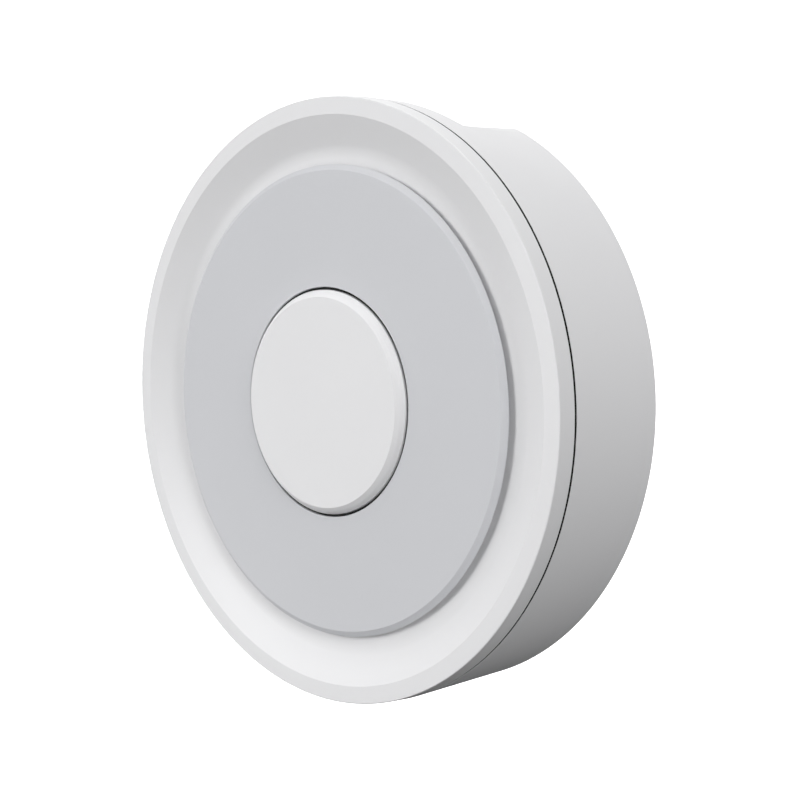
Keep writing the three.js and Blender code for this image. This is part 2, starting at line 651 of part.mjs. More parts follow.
/** One round layer of the sounder's bender. */
function piezoLayer(radius, depth) {
  const height = SOUNDER_BACK + depth;
  return rod(radius, height, height + PIEZO_THICKNESS, SOUNDER_X, SOUNDER_Y, SOUNDER_SEGMENTS);
}

/** A spring finger from the board up to the bender, touching it at `reach` from the middle. */
function sounderContact({ reach, tip }) {
  const x = SOUNDER_X + reach;
  const path = new THREE.CatmullRomCurve3([
    new THREE.Vector3(x - CONTACT_FOOT.lean, SOUNDER_Y, BOARD_TOP + CONTACT_FOOT.rise),
    new THREE.Vector3(x - CONTACT_ELBOW.lean, SOUNDER_Y, BOARD_TOP + CONTACT_ELBOW.rise),
    new THREE.Vector3(x, SOUNDER_Y, tip - CONTACT_TIP_GAP),
  ]);
  return wire(path, CONTACT_WIRE_RADIUS, CONTACT_STEPS);
}

// ---- cell ----
/** Lays a piece made along the axis down along X, at the cell's place. */
function layInCradle(solid) {
  return solid.rotate([0, 90, 0]).translate([0, CELL_Y, CELL_AXIS_HEIGHT]);
}

function lithiumCell() {
  const half = CELL_LENGTH / 2;
  const shoulder = half - CELL_CAP_LENGTH;
  const profile = [
    [0, -half],
    [CELL_RADIUS - CELL_EDGE, -half],
    [CELL_RADIUS, CELL_EDGE - half],
    [CELL_RADIUS, shoulder - CELL_EDGE],
    [CELL_RADIUS - CELL_EDGE, shoulder],
    [CELL_CAP_RADIUS, shoulder],
    [CELL_CAP_RADIUS, half],
    [0, half],
  ];
  return layInCradle(revolve(profile, CELL_SEGMENTS));
}

/** The moulded saddle that the cell lies in. */
function cellCradle() {
  const low = WELL_TOP + CLEARANCE;
  const length = CELL_LENGTH + 2 * CRADLE_END_WALL;
  const body = block(length, 2 * (CELL_RADIUS + CRADLE_SIDE_WALL), low, CELL_AXIS_HEIGHT, 0, CELL_Y);
  const hollow = layInCradle(rod(CELL_RADIUS + CLEARANCE, -length, length, 0, 0, CELL_SEGMENTS));
  const windowTop = CELL_AXIS_HEIGHT + OVERSHOOT;
  const window = block(CRADLE_WINDOW_LENGTH, CRADLE_WINDOW_WIDTH, low - OVERSHOOT, windowTop, 0, CELL_Y);
  return cut(body, hollow, window);
}

/** A nickel strip welded to one end of the cell and led down to the board. */
function cellTab(side) {
  const x = side * (CELL_LENGTH / 2 + TAB_OFFSET);
  const low = BOARD_TOP + CLEARANCE;
  const armLength = TAB_ARM_END - TAB_ARM_START;
  const armMiddle = TAB_ARM_START + armLength / 2;
  const armTop = BOARD_TOP + TAB_ARM_HEIGHT;
  const upright = block(TAB_THICKNESS, TAB_WIDTH, low, TAB_TOP, x, CELL_Y);
  const arm = block(TAB_THICKNESS, armLength, low, armTop, x, armMiddle);
  const foot = block(TAB_FOOT_WIDTH, TAB_FOOT_DEPTH, low, low + TAB_THICKNESS, x, TAB_FOOT_Y);
  return join(upright, arm, foot);
}

// ---- board and what stands on it ----
function circuitBoard() {
  const low = BOARD_HEIGHT - OVERSHOOT;
  const high = BOARD_TOP + OVERSHOOT;
  const disc = rod(BOARD_RADIUS, BOARD_HEIGHT, BOARD_TOP, 0, 0, PLATE_SEGMENTS);
  const span = 2 * BOARD_RADIUS;
  const cellCut = block(span, span, low, high, 0, BOARD_CUT_ABOVE + span / 2);
  const screwHoles = BOARD_SCREWS.map(([x, y]) => rod(BOARD_SCREW_HOLE, low, high, x, y));
  const bossNotches = CASE_SCREW_ANGLES.map((angle) =>
    rod(BOARD_NOTCH_RADIUS, low, high, ...polar(CASE_SCREW_CIRCLE, angle)));
  return cut(disc, cellCut, ...screwHoles, ...bossNotches);
}

/** A block standing on the board, up to `high` above it. */
function onBoard({ width, depth, high, x, y }) {
  return block(width, depth, BOARD_TOP + CLEARANCE, BOARD_TOP + high, x, y);
}

/** A flat chip with rows of pins along two sides. */
function chip({ width, depth, height, pins, x, y }) {
  const low = BOARD_TOP + CLEARANCE;
  const body = block(width, depth, low + CHIP_LIFT, low + height, x, y);
  const rowLength = width - 2 * PIN.thickness;
  const pitch = rowLength / (pins - 1);
  const legs = [];
  for (let i = 0; i < pins; i += 1) {
    const pinX = x - rowLength / 2 + i * pitch;
    legs.push(block(PIN.width, depth + 2 * PIN.reach, low, low + PIN.thickness, pinX, y));
  }
  return join(body, ...legs);
}

/** A can standing on the board, with its top edge bevelled. */
function can({ radius, height, x, y, lip = CAN_LIP }) {
  const low = BOARD_TOP + CLEARANCE;
  return revolve([
    [0, low],
    [radius, low],
    [radius, low + height - lip],
    [radius - lip, low + height],
    [0, low + height],
  ], CAN_SEGMENTS, x, y);
}

/** A bobbin: a waist of wire between two flanges. */
function bobbin({ radius, height, x, y }) {
  const low = BOARD_TOP + CLEARANCE;
  const waist = radius * BOBBIN_WAIST;
  return revolve([
    [0, low],
    [radius, low],
    [radius, low + BOBBIN_FLANGE],
    [waist, low + BOBBIN_FLANGE],
    [waist, low + height - BOBBIN_FLANGE],
    [radius, low + height - BOBBIN_FLANGE],
    [radius, low + height],
    [0, low + height],
  ], CAN_SEGMENTS, x, y);
}

function tactSwitch() {
  const low = BOARD_TOP + CLEARANCE;
  const body = block(SWITCH_WIDTH, SWITCH_WIDTH, low, low + SWITCH_HEIGHT);
  const collar = rod(SWITCH_COLLAR.radius, low + SWITCH_COLLAR.low, low + SWITCH_COLLAR.high);
  return cut(join(body, collar), rod(SWITCH_BORE.radius, low + SWITCH_BORE.low, low + SWITCH_BORE.high));
}

function switchPlunger() {
  return rod(PLUNGER.radius, BOARD_TOP + PLUNGER.low, BOARD_TOP + PLUNGER.high);
}

function thermistor() {
  const beadHeight = FLOOR_HEIGHT - THERMISTOR_BEAD.depth;
  const bead = new THREE.SphereGeometry(THERMISTOR_BEAD.radius, SMALL_SEGMENTS, BEAD_BANDS);
  bead.scale(1, 1, THERMISTOR_BEAD.stretch);
  bead.translate(THERMISTOR_X, THERMISTOR_Y, beadHeight);
  const legs = [-1, 1].map((side) => {
    const x = THERMISTOR_X + side * THERMISTOR_LEG_SPREAD;
    return rod(THERMISTOR_LEG_RADIUS, BOARD_TOP + CLEARANCE, beadHeight, x, THERMISTOR_Y, LEG_SEGMENTS);
  });
  return join(solidFrom(bead), ...legs);
}

/** A soft sleeve that fills the hole round the thermistor's legs. */
function thermistorSleeve() {
  const { inner, outer, low, high } = SLEEVE;
  return tube(outer, inner, low, high, THERMISTOR_X, THERMISTOR_Y, CAN_SEGMENTS);
}

function radioAntenna() {
  const { radius, start, end, step, rise } = ANTENNA;
  const footPlace = polar(ANTENNA_FOOT.radius, ANTENNA_FOOT.angle);
  const points = [new THREE.Vector3(...footPlace, BOARD_TOP + ANTENNA_FOOT.rise)];
  for (let angle = start; angle <= end; angle += step) {
    points.push(new THREE.Vector3(...polar(radius, angle), BOARD_TOP + rise));
  }
  return wire(new THREE.CatmullRomCurve3(points), ANTENNA.wire, ANTENNA_STEPS);
}

/** A pan-head screw whose head rests at `seat`, with its tip pointing up (1) or down (-1). */
function screw({ head, shank, headHeight, length }, seat, direction, x, y) {
  const top = seat - direction * headHeight;
  const turned = revolve([
    [0, seat + direction * length],
    [shank / 2, seat + direction * length],
    [shank, seat + direction * (length - SCREW_TAPER)],
    [shank, seat],
    [head, seat],
    [head, seat - (direction * headHeight) / 2],
    [(head + shank) / 2, top],
    [0, top],
  ], SCREW_SEGMENTS, x, y);
  const low = top - SCREW_CROSS_DEPTH;
  const high = top + SCREW_CROSS_DEPTH;
  return cut(
    turned,
    block(head, SCREW_CROSS_WIDTH, low, high, x, y),
    block(SCREW_CROSS_WIDTH, head, low, high, x, y),
  );
}

// ---- assembly ----
addPiece("mounting_plate", mountingPlate(), "plate_white");
addPiece("rear_housing", rearHousing(), "housing_white");
addPiece("front_cover", frontCover(), "housing_white");
addPiece("seam_seal", seamSeal(), "seal_black");
addPiece("front_disc", frontDisc(), "disc_grey");
addPiece("test_button", testButton(), "housing_white");
addPiece("button_spring", buttonSpring(), "steel");
addPiece("light_guide", lightGuide(), "smoked_acrylic");

addPiece("sounder_chamber", sounderChamber(), "black_plastic");
addPiece("sounder_plate", piezoLayer(PIEZO_RADIUS, PIEZO_PLATE_DEPTH), "brass");
addPiece("sounder_ceramic", piezoLayer(CERAMIC_RADIUS, CERAMIC_DEPTH), "ceramic_white");
addPiece("sounder_contact_centre", sounderContact(CONTACT_CENTRE), "steel");
addPiece("sounder_contact_edge", sounderContact(CONTACT_EDGE), "steel");

addPiece("lithium_cell", lithiumCell(), "cell_wrap");
addPiece("cell_cradle", cellCradle(), "black_plastic");
addPiece("cell_tab_positive", cellTab(1), "steel");
addPiece("cell_tab_negative", cellTab(-1), "steel");

addPiece("circuit_board", circuitBoard(), "board_green");
Object.entries(CHIPS).forEach(([name, sizes]) => addPiece(name, chip(sizes), "black_plastic"));
addPiece("radio_shield", onBoard(RADIO_SHIELD), "steel");
addPiece("radio_antenna", radioAntenna(), "copper");
addPiece("crystal", onBoard(CRYSTAL), "steel");
Object.entries(BOBBINS).forEach(([name, sizes]) => addPiece(name, bobbin(sizes), "copper"));
Object.entries(CANS).forEach(([name, sizes]) => addPiece(name, can(sizes), "black_plastic"));
addPiece("status_light", can(STATUS_LIGHT), "clear_acrylic");
addPiece("tact_switch", tactSwitch(), "black_plastic");
addPiece("switch_plunger", switchPlunger(), "black_plastic");
addPiece("thermistor", thermistor(), "glass_bead");
addPiece("thermistor_sleeve", thermistorSleeve(), "seal_black");

CASE_SCREW_ANGLES.forEach((angle, index) => {
  const body = screw(CASE_SCREW, CASE_SCREW_SEAT - CLEARANCE, 1, ...polar(CASE_SCREW_CIRCLE, angle));
  addPiece(`case_screw_${index + 1}`, body, "steel");
});
BOARD_SCREWS.forEach(([x, y], index) => {
  const body = screw(BOARD_SCREW, BOARD_TOP + CLEARANCE, -1, x, y);
  addPiece(`board_screw_${index + 1}`, body, "steel");
});
DISC_POST_ANGLES.forEach((angle, index) => {
  const body = screw(DISC_SCREW, DISC_POST_END - CLEARANCE, 1, ...polar(DISC_POST_CIRCLE, angle));
  addPiece(`disc_screw_${index + 1}`, body, "steel");
});

export default detector;
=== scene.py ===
import math

import bmesh
import bpy
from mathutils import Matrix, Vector


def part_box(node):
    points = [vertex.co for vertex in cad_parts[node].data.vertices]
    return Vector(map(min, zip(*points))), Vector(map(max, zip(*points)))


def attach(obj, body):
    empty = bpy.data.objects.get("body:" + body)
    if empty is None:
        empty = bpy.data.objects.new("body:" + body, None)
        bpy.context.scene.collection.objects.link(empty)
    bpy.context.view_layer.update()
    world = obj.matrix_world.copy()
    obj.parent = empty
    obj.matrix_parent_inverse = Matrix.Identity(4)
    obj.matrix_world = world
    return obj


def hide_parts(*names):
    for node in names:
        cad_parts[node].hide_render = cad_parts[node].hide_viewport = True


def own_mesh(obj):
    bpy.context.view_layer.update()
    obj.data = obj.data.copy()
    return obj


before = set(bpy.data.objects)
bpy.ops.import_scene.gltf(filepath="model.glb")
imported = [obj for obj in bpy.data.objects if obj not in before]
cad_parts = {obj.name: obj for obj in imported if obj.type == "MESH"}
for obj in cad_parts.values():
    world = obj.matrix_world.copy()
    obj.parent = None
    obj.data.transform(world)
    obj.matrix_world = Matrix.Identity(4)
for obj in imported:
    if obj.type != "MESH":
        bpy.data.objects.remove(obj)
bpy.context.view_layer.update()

# The detector hangs on a wall at y = 0 and faces -Y. "Height" is the distance from the wall.
# Shapes are laid out in millimetres as (radius, height) or (x, up, height), and built in metres.
MM = 0.001


# ---- sizes, in millimetres ----
def reach(node):
    """A CAD node's largest radius along X, and its lowest and highest height off the wall."""
    low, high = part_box(node)
    return high.x / MM, -high.y / MM, -low.y / MM


CASE_RADIUS, WALL_GAP, REAR_FRONT = reach("rear_housing")
BEZEL_HEIGHT = reach("front_cover")[2]
DISC_RADIUS, POST_END, DISC_FACE = reach("front_disc")
BUTTON_RADIUS, STEM_END, BUTTON_FACE = reach("test_button")
SEAL_RADIUS, SEAL_BACK, SEAL_TOP = reach("seam_seal")
PLATE_RADIUS, PLATE_BACK, PLATE_RIM_HEIGHT = reach("mounting_plate")
LUG_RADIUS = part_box("mounting_plate")[1].z / MM
SPRING_RADIUS, SPRING_BACK, SPRING_FRONT = reach("button_spring")

CLEARANCE = 0.3
OVERSHOOT = 1  # cutting tools run at least this far past what they open
OVERLAP = 0.5  # joined pieces run this far into each other

CASE_WALL = 2.2
CASE_EDGE = 0.7  # rounding of the casing's edge at the wall
FRONT_TAPER = 0.3  # how much smaller the cover is at the bezel than at the seam
SEAM_WIDTH = 0.6
SEAM_EDGE = 0.05
BEZEL_EDGE = 0.25
BEZEL_INNER_RADIUS = 56.25
FLAT_DISTANCE = 53.45  # the flat along the top of the rear casing, from the axis
FLAT_DRAFT = 0.8  # how much the flat rises from its ledge back to the wall
FLAT_END = 18.4  # the rear casing is fully round in front of this height
FLAT_SOFTNESS = 0.35  # rounding of the flat's two ends
LEDGE_LIP = 0.3  # rounding of the flat's ledge
LEDGE_STEP = 0.01  # inside the casing, the flat turns round over this height
COVE_TILT = math.radians(26)
COVE_EDGE = 0.08
COVE_BEND = 6
FLOOR_HEIGHT = 25.7
FLOOR_BACK = 23.9
FLOOR_BACK_RADIUS = 48  # the cover's underside turns forward outside this radius
UNDERSIDE_RADIUS = 54.45
FLOOR_TOOLS = (20, 28)  # lowest and highest point of the tools that open the floor
SOUND_SLOTS = (38, 40.4)
SOUND_SLOT_ANGLES = (183.5, 207.5, 231.5)
SOUND_SLOT_HALF_ANGLE = 8
SENSOR_HOLE = (3.6, 26, -34)  # radius, across and up
LIGHT_HOLE_RADIUS = 1.7
LATCH_OPENING = (7.9, 10.8)
LATCH_OPENING_HALF_ANGLE = 24

# Painted shade: the seal's black lip fills the seam, standing in for the shadow in the gap between the
# shells.
LIP_INSET = 0.06  # the seal's lip stands this far inside the casing's surface
LIP_GAP = 0.02
LIP_EDGE = 0.03

DISC_FACE_RADIUS = 45.7
DISC_EDGE_HEIGHT = 26.98
DISC_RIM = 0.12
DISC_BACK = 26.5
DISC_BACK_RADIUS = DISC_RADIUS - 1.6
DISC_HOLE_RADIUS = 22.85
DISC_SCREW_BORE = 1.1
POST_CIRCLE = 33
POST_RADIUS = 2.1
POST_SHOULDER = 4
POST_ROOT = 0.3  # how far a post, and its shoulder, run into the disc
SHOULDER_ROOT = 0.25
DISC_BORE_END = 0.4  # a post's screw bore stops this far short of the disc's back
THREE_LEGS = (30, 150, 270)  # where the disc's posts and the button's legs stand, in degrees
BUTTON_WALL = 1.5
BUTTON_FACE_RADIUS = 20.9
BUTTON_BROW = (21.68, 28.6)  # where the slope round the button's face grows steeper
BUTTON_EDGE_HEIGHT = 27.8
BUTTON_SKIRT_END = 26.9
STEM_RADIUS = 1.6
LATCH_INNER = 8.5
LATCH_OUTER = 9.9
LATCH_MIDDLE = 9.2  # the hooks run outwards from here
LATCH_HOOK = 11.6
LATCH_HOOK_HEIGHT = 1
LATCH_HALF_ANGLE = 16
LIGHT_RING_OUTER = 26.6
LIGHT_RING_BACK = 25.9
LIGHT_RING_FRONT = 26.3
# Painted shade: the light guide's near-black lip sits in the gap round the button, standing in for the
# shadow there.
LIGHT_LIP_INNER = 22.42
LIGHT_LIP_OUTER = 22.78
LIGHT_LIP_FRONT = 27.35
LIGHT_LEG_CIRCLE = 25.6
LIGHT_LEG_RADIUS = 1.3
LIGHT_LEG_ROOT = 0.2
SPRING_WIRE = 0.22
SPRING_TURNS = 2.5
SPRING_LOW_RADIUS = 4.8
SPRING_STEPS = 180
SPRING_SIDES = 12

WELL_RADIUS = 44.4
WELL_DEPTH = 6.2
WELL_WALL = 1.8
WELL_RIM = 0.5
LUG_ANGLES = (90, 210, 330)
LUG_HALF_ANGLE = 6.5
LUG_BACK = 3.4
LUG_ROOT = 1
STOP_BACK = 0.8
STOP_TURN = 2.2
STOP_HALF_ANGLE = 1.6
CATCH_INNER = 41.7
CATCH_BACK = 1.4
CATCH_FRONT = 3.0
PLATE_THICKNESS = 2.4
PLATE_WALL = 1.8
RIB_WIDTH = 1.4
RIB_FRONT = 3.8
RIB_OVERLAP = 0.2
RIB_ANGLES = (45, 135)
HUB = (12, 10.4)
SLOT_CIRCLE = 30
SLOT = (10, 4.6)
SLOT_PAST_RIB = 0.6
SLOT_RELIEF = (11.2, 5.8, 0.3)  # length, width and depth of the step round a slot
RELIEF_GROOVES = ((37.5, 37.0), (20.5, 20.0))
GROOVE_DEPTH = 0.25
GATE_MARK = (3.0, 0.15)  # radius and depth of the mark where the plate was filled
PIN_MARK = (1.6, 0.12)
PIN_MARK_CIRCLE = 33
PIN_MARK_ANGLES = (20, 70, 110, 160, 200, 250, 290, 340)

CASE_SCREW_CIRCLE = 51.5
CASE_SCREW_ANGLES = (20, 160, 270)
CASE_SCREW_BORE = 1.7
REAR_BOSS = (4.4, 12.7)  # radius and front end
BOSS_INSET = 1  # a boss starts this far inside the casing's back wall
COVER_BOSS = (3.1, 13)  # radius and back end
RECESS_MOUTH = 3.6
RECESS_RADIUS = 3.2
RECESS_EDGE = 0.4
RECESS_FLOOR = 7
BORE_END = 14
BOARD_POSTS = ((-42, 8), (42, 8), (0, -44))
BOARD_POST = (2.6, 1.2)
BOARD_POST_END = 12.9
EJECTOR_MARK = (2.6, 0.12)
EJECTOR_CIRCLE = 52.1
EJECTOR_ANGLES = (55, 125, 215, 325)

RING = 256  # steps round a large ring
HUB_STEPS = 96
SMALL = 32  # steps round a boss or bore
ARC_STEPS = 12
CORNER_STEPS = 6
EDGE_STEPS = 5  # steps across the rounding at the casing's back
LEDGE_STEPS = 4
DOUBLES = 1e-7  # corners closer than this are one corner, in metres
SHARP_ANGLE = math.radians(32)


# ---- camera, light and room ----
CAMERA_PLACE = (0.2079, -0.2206, 0.02425)
CAMERA_DOWN = 4.8
CAMERA_TURN = 44.13
CAMERA_LENS = 64.4
CAMERA_SENSOR = 36


def make_camera():
    """The camera stands right of the detector and a little above its middle."""
    data = bpy.data.cameras.new("camera")
    data.lens = CAMERA_LENS
    data.sensor_width = CAMERA_SENSOR
    camera = bpy.data.objects.new("camera", data)
    camera.location = CAMERA_PLACE
    camera.rotation_euler = (math.radians(90 - CAMERA_DOWN), 0, math.radians(CAMERA_TURN))
    bpy.context.scene.collection.objects.link(camera)
    bpy.context.scene.camera = camera


DOME_LOBES = (
    # direction the light comes from, and its strength there
    ((-0.707, 0, 0.707), 0.859),
    ((0, 0.707, 0.707), 0.78),
)


def make_dome():
    """A soft studio dome: broad pools of light up to the left and up behind the wall."""
    world = bpy.data.worlds.new("studio")
    bpy.context.scene.world = world
    world.use_nodes = True
    nodes = world.node_tree.nodes
    links = world.node_tree.links
    nodes.clear()
    place = nodes.new("ShaderNodeTexCoord")
    total = None
    for direction, strength in DOME_LOBES:
        facing = nodes.new("ShaderNodeVectorMath")
        facing.operation = "DOT_PRODUCT"
        facing.inputs[1].default_value = direction
        lobe = nodes.new("ShaderNodeMath")
        lobe.operation = "MAXIMUM"
        lobe.inputs[1].default_value = 0
        links.new(place.outputs["Generated"], facing.inputs[0])
        links.new(facing.outputs["Value"], lobe.inputs[0])
        summed = nodes.new("ShaderNodeMath")
        summed.operation = "MULTIPLY_ADD"
        summed.inputs[1].default_value = strength
        summed.inputs[2].default_value = 0
        links.new(lobe.outputs["Value"], summed.inputs[0])
        if total is not None:
            links.new(total, summed.inputs[2])
        total = summed.outputs["Value"]
    background = nodes.new("ShaderNodeBackground")
    background.inputs["Color"].default_value = (1, 1, 1, 1)
    output = nodes.new("ShaderNodeOutputWorld")
    links.new(total, background.inputs["Strength"])
    links.new(background.outputs["Background"], output.inputs["Surface"])


PANEL_DISTANCE = 1.5
PANEL_SIZE = 0.6
PANELS = (
    # degrees right of straight in front, degrees above level, and watts
    ("left_panel", -20, 18, 10.4),
    ("right_panel", 70, 18, 9.6),
    ("lower_right_panel", 35, -20, 3.5),
    ("lower_left_panel", -60, -20, 2.6),
    ("upper_left_panel", -40, 50, 0.6),
)


def add_panels():
    """Square soft boxes round the detector, each facing it."""
    for name, azimuth, elevation, power in PANELS:
        data = bpy.data.lights.new(name, "AREA")
        data.shape = "SQUARE"
        data.size = PANEL_SIZE
        data.energy = power
        panel = bpy.data.objects.new(name, data)
        turn = math.radians(azimuth)
        lift = math.radians(elevation)
        level = math.cos(lift)
        away = Vector((level * math.sin(turn), -level * math.cos(turn), math.sin(lift)))
        panel.location = away * PANEL_DISTANCE
        panel.rotation_euler = (-away).to_track_quat("-Z", "Y").to_euler()
        panel.visible_camera = False
        bpy.context.scene.collection.objects.link(panel)


FLOOR_LEVEL = -0.32
ROOM_RADIUS = 6.0
SWEEP_SHARE = 0.3  # the part of the room's radius where the floor curves up
SWEEP_STEPS = 16
ROOM_STEPS = 64
PAPER_GLOW = 1.2


def make_room():
    """A pale floor below the detector that curves up into a pale backdrop all round."""
    sweep = [(0, FLOOR_LEVEL), (ROOM_RADIUS * (1 - SWEEP_SHARE), FLOOR_LEVEL)]
    for step in range(1, SWEEP_STEPS + 1):
        turn = math.pi / 2 * step / SWEEP_STEPS
        radius = ROOM_RADIUS * (1 - SWEEP_SHARE + SWEEP_SHARE * math.sin(turn))
        sweep.append((radius, FLOOR_LEVEL + SWEEP_SHARE * ROOM_RADIUS * (1 - math.cos(turn))))
    for step in range(1, SWEEP_STEPS + 1):
        turn = math.pi / 2 * step / SWEEP_STEPS
        rise = SWEEP_SHARE + (1 - SWEEP_SHARE) * math.sin(turn)
        sweep.append((ROOM_RADIUS * math.cos(turn), FLOOR_LEVEL + ROOM_RADIUS * rise))
    mesh = bmesh.new()
    rings = []
    for radius, height in sweep:
        ring = []
        for step in range(ROOM_STEPS):
            turn = 2 * math.pi * step / ROOM_STEPS
            ring.append(mesh.verts.new((radius * math.cos(turn), radius * math.sin(turn), height)))
        rings.append(ring)
    for lower, upper in zip(rings, rings[1:]):
        for step in range(ROOM_STEPS):
            after = (step + 1) % ROOM_STEPS
            mesh.faces.new((lower[step], lower[after], upper[after], upper[step]))
    bmesh.ops.remove_doubles(mesh, verts=mesh.verts, dist=1e-5)
    data = bpy.data.meshes.new("studio_floor")
    mesh.to_mesh(data)
    mesh.free()
    floor = bpy.data.objects.new("studio_floor", data)
    bpy.context.scene.collection.objects.link(floor)
    material = bpy.data.materials.new("pale_paper")
    material.use_nodes = True
    shader = material.node_tree.nodes["Principled BSDF"]
    shader.inputs["Base Color"].default_value = (0.9, 0.9, 0.9, 1)
    shader.inputs["Roughness"].default_value = 0.9
    shader.inputs["Emission Color"].default_value = (1, 1, 1, 1)
    shader.inputs["Emission Strength"].default_value = PAPER_GLOW
    data.materials.append(material)
    # The room shows behind the detector, and the dome and the panels do all the lighting.
    floor.visible_diffuse = False
    floor.visible_glossy = False
    floor.visible_transmission = False
    floor.visible_shadow = False


# ---- mesh work ----
def at(x, up, height):
    """A point in the frame, in metres, from millimetres across, up the wall and off the wall."""
    return Vector((x * MM, -height * MM, up * MM))


def polar(radius, angle):
    """Across and up, from a radius and an angle in degrees."""
    return radius * math.cos(math.radians(angle)), radius * math.sin(math.radians(angle))


def finished(name, mesh):
    """A piece in the scene from a bmesh, with its normals facing out."""
    bmesh.ops.remove_doubles(mesh, verts=mesh.verts, dist=DOUBLES)
    bmesh.ops.dissolve_degenerate(mesh, edges=mesh.edges, dist=DOUBLES)
    bmesh.ops.recalc_face_normals(mesh, faces=mesh.faces)
    data = bpy.data.meshes.new(name)
    mesh.to_mesh(data)
    mesh.free()
    piece = bpy.data.objects.new(name, data)
    bpy.context.scene.collection.objects.link(piece)
    return piece


def skin(mesh, rings, closed):
    """Faces between rings of vertices, where a ring of one vertex is a tip."""
    pairs = list(zip(rings, rings[1:]))
    if closed:
        pairs.append((rings[-1], rings[0]))
    for first, second in pairs:
        count = max(len(first), len(second))
        for step in range(count):
            after = (step + 1) % count
            if len(first) == 1 and len(second) == 1:
                continue
            if len(first) == 1:
                mesh.faces.new((first[0], second[after], second[step]))
            elif len(second) == 1:
                mesh.faces.new((first[step], first[after], second[0]))
            else:
                mesh.faces.new((first[step], first[after], second[after], second[step]))


def rounded(corners, steps=CORNER_STEPS):
    """A profile's points, where a corner of three numbers is rounded by its third."""
    points = []
    count = len(corners)
    for index, corner in enumerate(corners):
        here = Vector(corner[:2])
        if len(corner) == 2:
            points.append(here)
            continue
        before = (Vector(corners[index - 1][:2]) - here).normalized()
        behind = (Vector(corners[(index + 1) % count][:2]) - here).normalized()
        half = before.angle(behind) / 2
        start = here + before * corner[2] / math.tan(half)
        end = here + behind * corner[2] / math.tan(half)
        centre = here + (before + behind).normalized() * corner[2] / math.sin(half)
        first = start - centre
        last = end - centre
        sweep = first.angle(last)
        for step in range(steps + 1):
            turn = sweep * step / steps
            spoke = first * math.sin(sweep - turn) + last * math.sin(turn)
            points.append(centre + spoke / math.sin(sweep))
    return points


def lathe(name, corners, segments=RING, x=0, up=0):
    """A profile of (radius, height) corners turned round the line through (x, up)."""
    mesh = bmesh.new()
    points = rounded(corners)
    rings = []
    for radius, height in points:
        if radius < 1e-6:
            rings.append([mesh.verts.new(at(x, up, height))])
            continue
        ring = []
        for step in range(segments):
            across, rise = polar(radius, 360 * step / segments)
            ring.append(mesh.verts.new(at(x + across, up + rise, height)))
        rings.append(ring)
    skin(mesh, rings, closed=len(rings[0]) > 1 or len(rings[-1]) > 1)
    return finished(name, mesh)


def rod(radius, low, high, x=0, up=0, segments=SMALL):
    return lathe("rod", [(0, low), (radius, low), (radius, high), (0, high)], segments, x, up)


def tube(outer, inner, low, high, x=0, up=0, segments=SMALL):
    corners = [(inner, low), (outer, low), (outer, high), (inner, high)]
    return lathe("tube", corners, segments, x, up)


def prism(outline, low, high):
    """A flat outline of (x, up) points given height."""
    mesh = bmesh.new()
    back = [mesh.verts.new(at(x, up, low)) for x, up in outline]
    front = [mesh.verts.new(at(x, up, high)) for x, up in outline]
    mesh.faces.new(back)
    mesh.faces.new(front)
    for index in range(len(outline)):
        after = (index + 1) % len(outline)
        mesh.faces.new((back[index], back[after], front[after], front[index]))
    return finished("prism", mesh)


def arc_block(inner, outer, low, high, angle, half_angle, steps=ARC_STEPS):
    """Part of a flat ring, centred on an angle in degrees."""
    turns = [angle - half_angle + 2 * half_angle * step / steps for step in range(steps + 1)]
    outline = [polar(outer, turn) for turn in turns]
    outline += [polar(inner, turn) for turn in reversed(turns)]
    return prism(outline, low, high)


def bar(length, width, low, high, angle):
    """A bar through the axis, turned by an angle in degrees."""
    outline = []
    for across, rise in ((1, 1), (-1, 1), (-1, -1), (1, -1)):
        radius = math.hypot(length / 2, width / 2)
        corner = math.degrees(math.atan2(rise * width, across * length))
        outline.append(polar(radius, corner + angle))
    return prism(outline, low, high)


def slot(length, width, low, high, x):
    """A slot with round ends across the plate."""
    half = (length - width) / 2
    outline = []
    for side, start in ((half, -90), (-half, 90)):
        for step in range(ARC_STEPS + 1):
            across, rise = polar(width / 2, start + 180 * step / ARC_STEPS)
            outline.append((x + side + across, rise))
    return prism(outline, low, high)


def combine(piece, tools, operation):
    """Joins tools to a piece, or cuts them out of it, and removes them."""
    for tool in tools:
        modifier = piece.modifiers.new("combine", "BOOLEAN")
        modifier.operation = operation
        modifier.solver = "MANIFOLD"
        modifier.object = tool
    bpy.context.view_layer.update()
    graph = bpy.context.evaluated_depsgraph_get()
    data = bpy.data.meshes.new_from_object(piece.evaluated_get(graph))
    piece.modifiers.clear()
    piece.data = data
    for tool in tools:
        bpy.data.objects.remove(tool)
    return piece


def join(piece, tools):
    return combine(piece, tools, "UNION")


def cut(piece, tools):
    return combine(piece, tools, "DIFFERENCE")


def install(piece, name, node, body, material):
    """Smooths a piece, finishes it and puts it in its CAD node's place."""
    mesh = bmesh.new()
    mesh.from_mesh(piece.data)
    bmesh.ops.remove_doubles(mesh, verts=mesh.verts, dist=DOUBLES)
    bmesh.ops.dissolve_degenerate(mesh, edges=mesh.edges, dist=DOUBLES)
    bmesh.ops.recalc_face_normals(mesh, faces=mesh.faces)
    mesh.to_mesh(piece.data)
    mesh.free()
    piece.name = name
    piece.data.name = name
    piece.data.shade_smooth()
    piece.data.set_sharp_from_angle(angle=SHARP_ANGLE)
    weighted = piece.modifiers.new("flat_faces_stay_flat", "WEIGHTED_NORMAL")
    weighted.keep_sharp = True
    weighted.weight = 90
    piece.data.materials.clear()
    piece.data.materials.append(material)
    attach(piece, body)
    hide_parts(node)
    return piece


# ---- materials ----
def new_material(name):
    material = bpy.data.materials.new(name)
    material.use_nodes = True
    tree = material.node_tree
    return material, tree, tree.nodes["Principled BSDF"]


